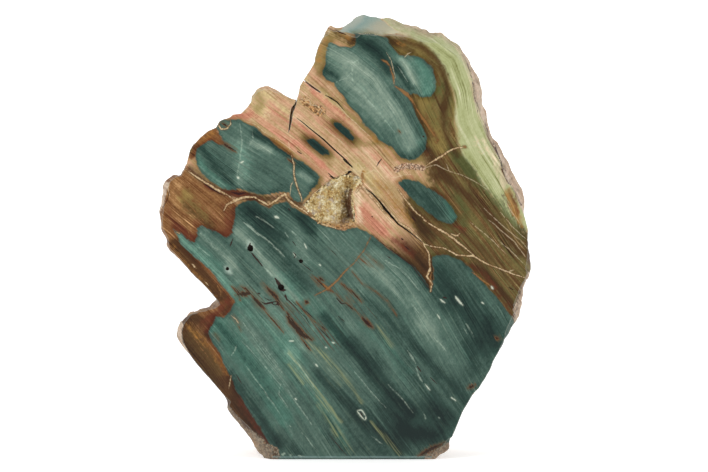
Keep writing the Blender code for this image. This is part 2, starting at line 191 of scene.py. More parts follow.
RIND = {
    "right": [
        (454, 36), (459, 47), (464, 57), (471, 72), (473, 86), (475, 100), (479, 112), (483, 123),
        (485.5, 129), (492, 143.6), (499.5, 158), (502.4, 167), (504, 177.4), (512, 187.8), (517, 198),
        (522, 212), (545, 225), (545, 150), (500, 60), (470, 30),
    ],
    "left": [
        (150, 182), (164, 178), (169, 183), (167, 194), (164, 206), (158, 215), (150, 215),
    ],
    "lobe": [
        (165, 320), (180, 319), (184, 325), (181, 334), (184, 343), (190, 353), (165, 353),
    ],
    "foot_left": [
        (220, 404), (228, 403), (236, 415), (246, 427), (252, 431), (258, 433), (263, 438), (268, 444),
        (277, 447), (281, 458), (262, 470), (215, 430),
    ],
    "foot_right": [
        (419, 470), (424, 455), (436, 448), (449, 442), (460, 450), (455, 470),
    ],
    "right_edge": [
        (540, 270), (528, 272), (523, 284), (519, 297), (513, 309), (515, 322), (508, 336), (525, 340),
        (545, 300),
    ],
}
FACET = [
    (338, 31), (352, 20), (363, 8), (377, 8), (380, 17), (390, 25), (400, 33), (394, 34), (383, 35.5),
    (356, 34.5), (346, 33),
]
WEDGE = [
    (354, 190), (360, 185), (367, 189), (374, 195), (381, 203), (390, 214), (399, 225), (409, 232),
    (423, 243), (432, 256), (434, 294), (419, 280), (408, 270), (396, 261), (384, 252), (371, 242),
    (362, 235), (353, 230), (351, 215), (351, 200),
]
CRUMBLY = [
    (300, 100), (304, 96.5), (309, 98), (311, 103), (316, 103), (321, 105), (326, 109), (326, 114),
    (320, 117), (313, 113), (308, 107), (303, 107),
]
# Lines that follow the wood's grain, from the bark in to the far side.
GRAIN_LINES = [
    [(400, 28), (430, 43), (452, 60), (463, 90), (468, 120), (482, 148), (502, 178), (516, 205), (524, 230)],
    [(383, 50), (400, 68), (415, 92), (428, 118), (445, 150), (470, 190), (500, 228), (526, 262)],
    [(330, 47), (352, 58), (375, 77), (398, 112), (417, 147), (440, 185), (466, 222), (500, 262), (524, 290)],
    [(302, 88), (325, 108), (350, 130), (375, 153), (398, 180), (430, 218), (465, 258), (500, 305)],
    [(255, 100), (290, 127), (325, 155), (352, 180), (385, 216), (420, 254), (452, 290), (485, 350)],
    [(215, 130), (250, 153), (290, 178), (322, 202), (365, 245), (400, 280), (432, 325), (465, 385)],
    [(195, 158), (235, 190), (285, 232), (335, 280), (378, 335), (410, 375), (445, 425)],
    [(165, 195), (200, 228), (250, 275), (295, 325), (335, 375), (368, 410), (400, 455)],
    [(168, 240), (212, 285), (252, 332), (290, 382), (318, 420), (345, 460)],
    [(178, 322), (210, 362), (242, 408), (278, 460)],
]
# Soft strokes: strength, half width, and the line each follows.
SOFT = {
    "tone": [
        (0.55, 6, [(177, 234), (195, 250), (215, 272), (232, 296)]),
        (0.35, 5, [(202, 232), (218, 247), (236, 264)]), (-0.4, 4, [(212, 232), (226, 242), (233, 247)]),
        (0.8, 6, [(238, 232), (252, 246), (266, 264), (282, 283), (296, 299)]),
        (0.45, 6, [(228, 262), (236, 276), (250, 292)]), (-0.5, 3.5, [(240, 262), (250, 275), (257, 286)]),
        (-0.75, 9, [(252, 212), (268, 236), (287, 262), (304, 286)]),
        (-0.5, 7, [(244, 208), (262, 218), (285, 236)]), (-0.6, 7, [(284, 208), (298, 214)]),
        (-1.1, 8, [(304, 219), (310, 229)]), (0.4, 6, [(294, 233), (302, 248), (304, 258)]),
        (0.2, 8, [(325, 236), (347, 255), (366, 275)]), (-0.35, 5, [(312, 245), (330, 265), (345, 280)]),
        (0.4, 10, [(262, 305), (280, 330), (296, 350)]), (0.35, 6, [(241, 322), (262, 350), (281, 376)]),
        (-0.3, 5, [(219, 325), (235, 345), (252, 370), (272, 400)]),
        (-0.8, 5, [(231, 374), (248, 396), (262, 418), (278, 446)]),
        (-0.6, 7, [(280, 438), (290, 448), (300, 456)]),
        (0.35, 5, [(288, 352), (305, 375), (325, 405), (345, 438)]),
        (-0.3, 4, [(300, 395), (320, 425), (340, 450)]), (-0.2, 5, [(260, 385), (285, 420), (305, 450)]),
        (-0.8, 6, [(318, 374), (336, 392), (352, 408), (366, 424)]),
        (0.3, 6, [(306, 342), (322, 358), (340, 378)]),
        (-1.0, 5.5, [(324, 316), (342, 338), (358, 356), (374, 376), (392, 396), (411, 413)]),
        (-0.5, 9, [(352, 342), (374, 364)]), (0.35, 7, [(352, 325), (380, 350), (400, 378), (425, 405)]),
        (-0.55, 3.5, [(366, 298), (388, 318), (405, 337), (425, 355)]),
        (0.6, 12, [(372, 262), (395, 285), (415, 305), (432, 325)]),
        (0.5, 9, [(420, 325), (440, 345), (455, 365)]),
        (-0.45, 4, [(412, 348), (432, 365), (452, 385), (468, 402)]),
        (0.2, 5, [(415, 360), (430, 380), (450, 400)]), (-1.1, 9, [(405, 432), (420, 434), (436, 436)]),
        (-0.8, 5, [(378, 430), (392, 442), (402, 450)]), (-0.6, 8, [(430, 405), (448, 420)]),
        (-0.4, 10, [(385, 410), (400, 424)]), (-0.5, 13, [(440, 268), (444, 285), (452, 300)]),
        (-0.4, 12, [(462, 300), (475, 320), (485, 340)]), (-0.5, 10, [(470, 345), (472, 368)]),
        (-0.6, 8, [(488, 322), (495, 345)]), (0.15, 3, [(468, 273), (485, 291), (500, 307), (511, 322)]),
        (0.35, 4, [(447, 322), (458, 345), (470, 370)]),
        (0.85, 8, [(331, 50), (352, 62), (375, 82), (393, 110), (405, 128), (412, 146)]),
        (-1.1, 6, [(325, 71), (336, 75)]), (-1.0, 7, [(357, 38), (368, 46), (380, 56), (389, 70)]),
        (-0.35, 5, [(372, 42), (384, 52)]), (-0.8, 5, [(401, 155), (411, 158), (422, 148)]),
        (-0.5, 3.5, [(396, 92), (409, 112), (420, 134)]),
        (-0.4, 3, [(340, 92), (358, 114), (374, 132), (392, 148)]),
        (-1.1, 4, [(397, 66), (404, 78), (411, 88)]), (0.7, 3, [(401, 60), (408, 70), (413, 82)]),
        (-0.9, 4, [(201, 148), (216, 166), (232, 182)]), (0.45, 3, [(197, 156), (205, 173), (226, 189)]),
        (-0.5, 3, [(213, 150), (225, 163), (234, 173)]), (-1.1, 4, [(254, 133), (272, 142), (288, 155)]),
        (1.0, 3.2, [(252, 143), (261, 147), (270, 151)]), (0.5, 8, [(240, 140), (243, 158), (240, 178)]),
        (-0.3, 6, [(258, 168), (276, 182), (286, 186)]), (1.1, 3, [(301, 174), (307, 178), (312, 181)]),
        (-0.8, 4, [(295, 164), (308, 170), (317, 182), (312, 190)]),
        (-0.4, 3, [(250, 190), (270, 192), (284, 189)]), (-0.7, 9, [(405, 186), (425, 198), (438, 212)]),
        (-1.6, 6, [(307, 139), (318, 146), (328, 153)]), (-1.6, 6, [(335, 124), (345, 133), (353, 140)]),
        (0.5, 5, [(262, 112), (266, 118)]), (0.5, 5, [(360, 150), (380, 166), (398, 178)]),
        (0.8, 4, [(355, 192), (360, 200), (358, 216)]), (-0.9, 4, [(400, 238), (412, 250), (426, 268)]),
        (-0.6, 5, [(400, 208), (416, 218), (428, 232)]), (0.4, 5, [(330, 148), (352, 160), (378, 178)]),
        (0.5, 4, [(472, 100), (476, 120), (486, 142), (497, 160)]),
        (0.6, 4, [(473, 140), (480, 148), (487, 153)]), (0.4, 3, [(462, 52), (470, 72), (474, 90)]),
        (-0.7, 4, [(186, 190), (198, 208), (212, 224)]), (0.4, 4, [(176, 182), (190, 194), (205, 210)]),
        (-0.65, 45, [(405, 425), (440, 400)]), (-0.55, 30, [(455, 285), (488, 335)]),
        (-0.25, 30, [(385, 320), (400, 360)]), (0.4, 2.5, [(398, 56), (406, 66), (414, 84)]),
        (-0.6, 2.5, [(372, 240), (392, 253), (410, 266), (428, 288)]),
        (-0.35, 25, [(345, 430), (380, 445)]), (-0.3, 14, [(245, 205), (270, 225)]),
        (0.7, 12, [(345, 70), (380, 115)]), (0.3, 12, [(404, 62), (420, 82)]),
        (-0.25, 16, [(410, 410), (440, 420)]), (0.8, 4, [(192, 330), (206, 352), (222, 374)]),
        (-0.7, 5, [(184, 340), (198, 362), (216, 386)]), (-0.6, 4, [(232, 398), (246, 420), (260, 438)]),
        (0.5, 3, [(180, 252), (196, 270), (212, 290)]), (0.5, 4, [(452, 110), (458, 132), (470, 150)]),
        (-0.4, 3, [(432, 44), (450, 62), (460, 84)]), (-0.5, 3, [(468, 158), (484, 180), (500, 204)]),
        (0.35, 8, [(366, 180), (386, 200), (402, 216)]), (0.45, 9, [(442, 84), (446, 108), (446, 128)]),
        (0.4, 16, [(176, 190), (196, 212)]), (-0.5, 5, [(236, 402), (250, 424), (262, 440)]),
        (-0.3, 5, [(472, 80), (478, 108), (488, 132), (504, 168)]),
    ],
    "green": [
        (0.9, 8, [(174, 231), (195, 250), (214, 268), (234, 298)]),
        (0.9, 14, [(218, 325), (240, 350), (262, 380), (285, 415)]),
        (0.7, 12, [(245, 300), (270, 325), (300, 355)]), (1.0, 8, [(418, 62), (427, 76), (429, 92)]),
        (0.8, 5, [(198, 158), (208, 175), (228, 190)]), (1.1, 5, [(448, 202), (457, 222)]),
        (0.6, 5, [(391, 50), (399, 58)]), (0.3, 5, [(470, 275), (490, 295), (510, 320)]),
        (0.5, 16, [(290, 285), (310, 310), (335, 335)]), (0.5, 8, [(365, 325), (385, 345), (405, 370)]),
        (0.5, 8, [(240, 150), (246, 172)]), (0.6, 4, [(420, 128), (424, 144)]),
        (0.6, 10, [(280, 350), (310, 390), (345, 440)]),
    ],
    "pink": [
        (1.3, 3.5, [(234, 115), (248, 116)]), (0.8, 5, [(252, 112), (272, 128), (292, 144)]),
        (0.6, 4, [(262, 100), (282, 116), (292, 124)]), (0.9, 4, [(296, 142), (310, 154), (322, 164)]),
        (1.0, 4, [(314, 93), (330, 104), (348, 119)]), (0.6, 3, [(306, 84), (316, 92)]),
        (0.7, 4, [(300, 126), (312, 136)]), (0.6, 5, [(322, 165), (330, 172)]),
        (1.2, 8, [(362, 210), (370, 221), (382, 231)]), (0.6, 5, [(376, 156), (392, 168)]),
        (0.7, 3, [(402, 178), (412, 177)]), (0.7, 4, [(350, 196), (352, 208), (356, 222)]),
        (0.4, 4, [(318, 120), (336, 134)]), (0.6, 3, [(420, 175), (430, 175)]),
        (0.7, 4, [(396, 238), (404, 246)]),
    ],
    "olive": [
        (0.9, 5, [(256, 94), (262, 103), (258, 110)]), (0.9, 5, [(305, 137), (318, 145), (331, 155)]),
        (0.9, 5, [(333, 121), (345, 132), (357, 142)]), (0.9, 3, [(354, 141), (364, 144), (376, 144)]),
        (0.9, 4, [(323, 88), (338, 102), (352, 118), (368, 132), (390, 148)]),
        (0.5, 4, [(322, 122), (345, 142), (362, 152)]), (0.6, 8, [(372, 178), (392, 200), (412, 226)]),
        (0.6, 6, [(350, 160), (366, 168)]), (0.5, 5, [(318, 66), (321, 52), (326, 38)]),
        (0.6, 5, [(325, 192), (316, 186), (322, 178)]), (0.7, 4, [(298, 166), (312, 176), (320, 188)]),
        (0.9, 3, [(409, 38), (427, 48), (441, 66), (450, 84), (454, 100), (453, 118), (458, 138)]),
        (1.3, 6, [(326, 38), (338, 34), (352, 40)]), (1.2, 5, [(325, 42), (322, 56), (319, 72)]),
        (0.7, 3.5, [(396, 156), (410, 163), (424, 156)]), (1.4, 9, [(424, 104), (432, 124), (440, 146)]),
        (0.8, 8, [(394, 42), (410, 50), (422, 54)]), (0.8, 5, [(186, 192), (200, 206), (206, 214)]),
        (0.5, 5, [(192, 330), (204, 350), (218, 372)]), (1.0, 7, [(420, 150), (428, 164), (430, 180)]),
        (0.8, 7, [(184, 200), (200, 216), (212, 228)]), (0.7, 4, [(184, 338), (200, 362), (216, 384)]),
        (0.8, 4, [(319, 64), (321, 50), (326, 42)]), (0.9, 4, [(190, 332), (204, 352), (220, 374)]),
    ],
    "umber": [
        (0.9, 5, [(186, 205), (200, 218), (212, 230)]),
        (0.8, 4, [(186, 322), (196, 345), (216, 378), (236, 405), (250, 425)]),
        (0.9, 3.5, [(198, 318), (212, 326), (206, 336)]), (1.0, 4, [(226, 298), (230, 306), (222, 313)]),
        (1.0, 4, [(420, 45), (436, 58), (446, 76), (448, 93), (444, 106)]),
        (0.9, 3.5, [(444, 106), (443, 123), (448, 140), (457, 157)]),
        (1.0, 5, [(441, 175), (458, 188), (474, 201), (492, 219), (508, 238), (520, 254)]),
        (0.4, 3, [(424, 118), (431, 130), (438, 142)]), (0.9, 4, [(404, 246), (414, 256), (426, 270)]),
        (0.9, 5, [(415, 214), (420, 226), (434, 238)]),
        (0.7, 3, [(470, 264), (486, 274), (500, 290), (512, 306)]),
        (0.5, 4, [(452, 225), (470, 240), (500, 262)]), (0.7, 4, [(390, 44), (402, 40), (412, 44)]),
        (0.8, 4, [(430, 150), (438, 165), (450, 178)]), (0.8, 3, [(393, 66), (400, 84), (412, 96)]),
        (0.8, 3, [(372, 236), (392, 250), (412, 266), (428, 284)]),
        (0.7, 3, [(246, 430), (258, 444), (266, 456)]), (1.3, 15, [(188, 330), (206, 362), (228, 392)]),
        (1.9, 9, [(228, 396), (246, 418), (262, 440)]), (0.7, 5, [(176, 244), (196, 268), (218, 296)]),
        (1.1, 4, [(190, 169), (205, 182), (222, 192), (240, 196), (262, 199), (285, 198), (300, 204)]),
        (0.9, 3, [(386, 36), (398, 44), (412, 52)]), (0.8, 4, [(414, 104), (421, 120), (428, 136)]),
        (0.8, 4, [(520, 226), (527, 240), (530, 260)]), (1.2, 3, [(352, 42), (356, 38)]),
        (0.9, 3, [(381, 60), (390, 68), (394, 86), (404, 95)]),
        (1.1, 3, [(226, 190), (244, 195), (262, 201)]), (0.8, 4, [(186, 322), (184, 336), (194, 354)]),
        (0.9, 3, [(334, 32), (342, 38), (352, 42)]), (0.8, 3, [(504, 196), (510, 206), (516, 216)]),
        (0.7, 5, [(478, 268), (495, 284), (512, 304)]), (0.9, 6, [(424, 150), (430, 164), (433, 180)]),
        (0.8, 4, [(414, 212), (419, 222), (424, 230)]), (1.3, 6, [(176, 244), (196, 268), (218, 296)]),
        (1.0, 5, [(192, 318), (178, 326), (176, 338)]),
        (0.8, 3, [(184, 340), (196, 357), (208, 372), (222, 388)]),
    ],
    "amber": [
        (0.8, 3, [(198, 146), (206, 138), (215, 132)]), (0.35, 3, [(349, 38), (354, 41)]),
        (0.35, 2.5, [(172, 246), (186, 262), (202, 280), (216, 296)]),
        (1.1, 3.2, [(272, 140), (282, 147), (292, 157)]), (0.9, 3, [(508, 190), (513, 203), (520, 218)]),
        (0.7, 3, [(370, 137), (379, 141)]), (0.8, 3, [(363, 172), (362, 182), (355, 190)]),
        (0.9, 1.8, [(385, 61), (390, 66), (393, 78)]), (0.5, 3, [(319, 62), (320, 50), (325, 40)]),
        (0.6, 3, [(384, 150), (394, 158)]), (0.8, 5, [(318, 221), (334, 226), (350, 224)]),
        (0.5, 3, [(462, 262), (478, 276), (492, 290)]), (0.6, 6, [(376, 182), (394, 202), (410, 222)]),
        (0.4, 3, [(340, 33), (350, 37)]), (0.8, 2, [(404, 46), (396, 42)]),
        (0.5, 3, [(514, 190), (518, 200), (516, 212)]), (0.8, 2.5, [(508, 196), (514, 212), (522, 226)]),
        (0.6, 3, [(353, 176), (358, 182)]), (0.6, 4, [(190, 326), (212, 348), (226, 373)]),
    ],
    "red": [
        (1.0, 3, [(231, 191), (240, 194), (249, 194)]), (0.9, 3, [(227, 300), (234, 308), (228, 314)]),
        (0.8, 3, [(212, 316), (202, 322)]), (0.9, 2.5, [(437, 192), (447, 199)]),
        (1.0, 3, [(455, 225), (465, 230)]), (1.0, 4, [(394, 240), (404, 248), (412, 254)]),
        (0.8, 4, [(196, 222), (212, 236), (228, 244)]), (0.8, 3, [(470, 265), (484, 275), (494, 286)]),
        (0.6, 3, [(424, 146), (427, 154)]), (0.7, 4, [(240, 400), (254, 422), (266, 442)]),
        (0.8, 2, [(425, 114), (432, 128), (438, 140)]), (0.7, 3, [(222, 206), (228, 222)]),
        (0.7, 2.5, [(420, 449), (432, 446), (443, 441)]), (0.6, 3, [(506, 305), (514, 316)]),
        (0.8, 2, [(492, 286), (500, 298)]), (0.6, 3, [(188, 232), (194, 240)]),
        (0.7, 6, [(196, 200), (214, 218), (230, 236)]), (0.6, 5, [(168, 210), (176, 224), (186, 238)]),
        (1.0, 2.5, [(206, 186), (222, 192), (240, 195), (262, 200)]),
        (0.7, 1.5, [(372, 238), (392, 253), (410, 267), (428, 288)]),
        (0.9, 4, [(198, 236), (212, 232), (226, 240)]), (1.0, 5, [(222, 306), (214, 318), (208, 330)]),
        (0.9, 4, [(176, 226), (188, 236), (196, 246)]), (0.8, 5, [(232, 214), (232, 226), (226, 236)]),
        (0.8, 3, [(196, 244), (204, 230)]), (0.8, 2.5, [(512, 196), (516, 206), (518, 214)]),
    ],
    "forest": [
        (1.0, 5, [(459, 160), (472, 176), (484, 190), (500, 206), (516, 224), (524, 236)]),
        (0.8, 5, [(458, 198), (466, 212), (464, 224)]), (0.9, 3, [(418, 218), (419, 224)]),
        (0.6, 6, [(430, 110), (434, 124)]), (0.4, 5, [(432, 98), (440, 88)]),
        (0.5, 4, [(190, 150), (197, 144)]), (1.0, 4, [(450, 150), (460, 160), (472, 173)]),
        (0.6, 8, [(444, 84), (447, 125)]),
    ],
    "gold": [
        (0.9, 2.2, [(303, 337), (318, 349), (330, 361), (346, 380), (362, 402)]),
        (0.5, 4, [(306, 342), (322, 359), (342, 384)]), (0.9, 2.2, [(289, 364), (297, 374), (303, 383)]),
        (0.9, 2.2, [(288, 352), (302, 368), (315, 388), (330, 410)]),
        (0.9, 2.2, [(318, 405), (328, 420), (338, 434)]), (0.9, 2.2, [(318, 396), (330, 408), (341, 421)]),
        (0.9, 2.2, [(371, 422), (385, 437), (400, 455)]), (0.4, 5, [(335, 430), (350, 450)]),
        (0.5, 4, [(378, 328), (392, 345)]),
    ],
    "dashes": [
        (1.0, 14, [(292, 303), (312, 322), (330, 340)]), (0.9, 10, [(335, 285), (350, 300), (365, 312)]),
        (0.7, 9, [(362, 258), (378, 268)]), (0.6, 8, [(300, 262), (312, 274)]),
        (0.8, 8, [(242, 290), (266, 300)]), (0.5, 9, [(376, 308), (390, 325)]),
        (0.5, 8, [(330, 248), (345, 262)]),
    ],
    "shell": [
        (0.7, 3, [(404, 24), (424, 28), (440, 33)]),
        (1.0, 3.2, [
            (440, 33), (454, 42), (464, 56), (471, 74), (474, 90), (477, 106), (482, 120), (489, 135),
            (497, 151), (502, 166), (506, 184),
        ]),
        (0.7, 3, [(484, 140), (492, 156), (498, 172), (504, 188)]),
        (0.6, 6, [(388, 33), (396, 35), (408, 34)]), (0.9, 3, [(357, 190), (358, 206), (361, 222)]),
    ],
    "straw": [
        (1.1, 9, [(252, 93), (264, 98), (260, 108)]), (0.8, 5, [(300, 70), (308, 78)]),
        (0.9, 4, [(352, 194), (350, 206), (354, 222)]), (0.6, 5, [(282, 108), (288, 116)]),
        (0.9, 5, [(356, 168), (366, 178), (380, 194)]), (0.6, 4, [(320, 92), (340, 110), (358, 130)]),
        (0.6, 4, [(305, 205), (310, 198)]), (0.5, 8, [(348, 160), (362, 170), (376, 176)]),
    ],
    "soot": [
        (1.2, 14, [(222, 402), (250, 434), (274, 456)]), (0.6, 8, [(168, 325), (172, 340)]),
        (0.8, 10, [(422, 458), (450, 446)]), (0.5, 6, [(526, 276), (518, 300), (514, 322)]),
    ],
}
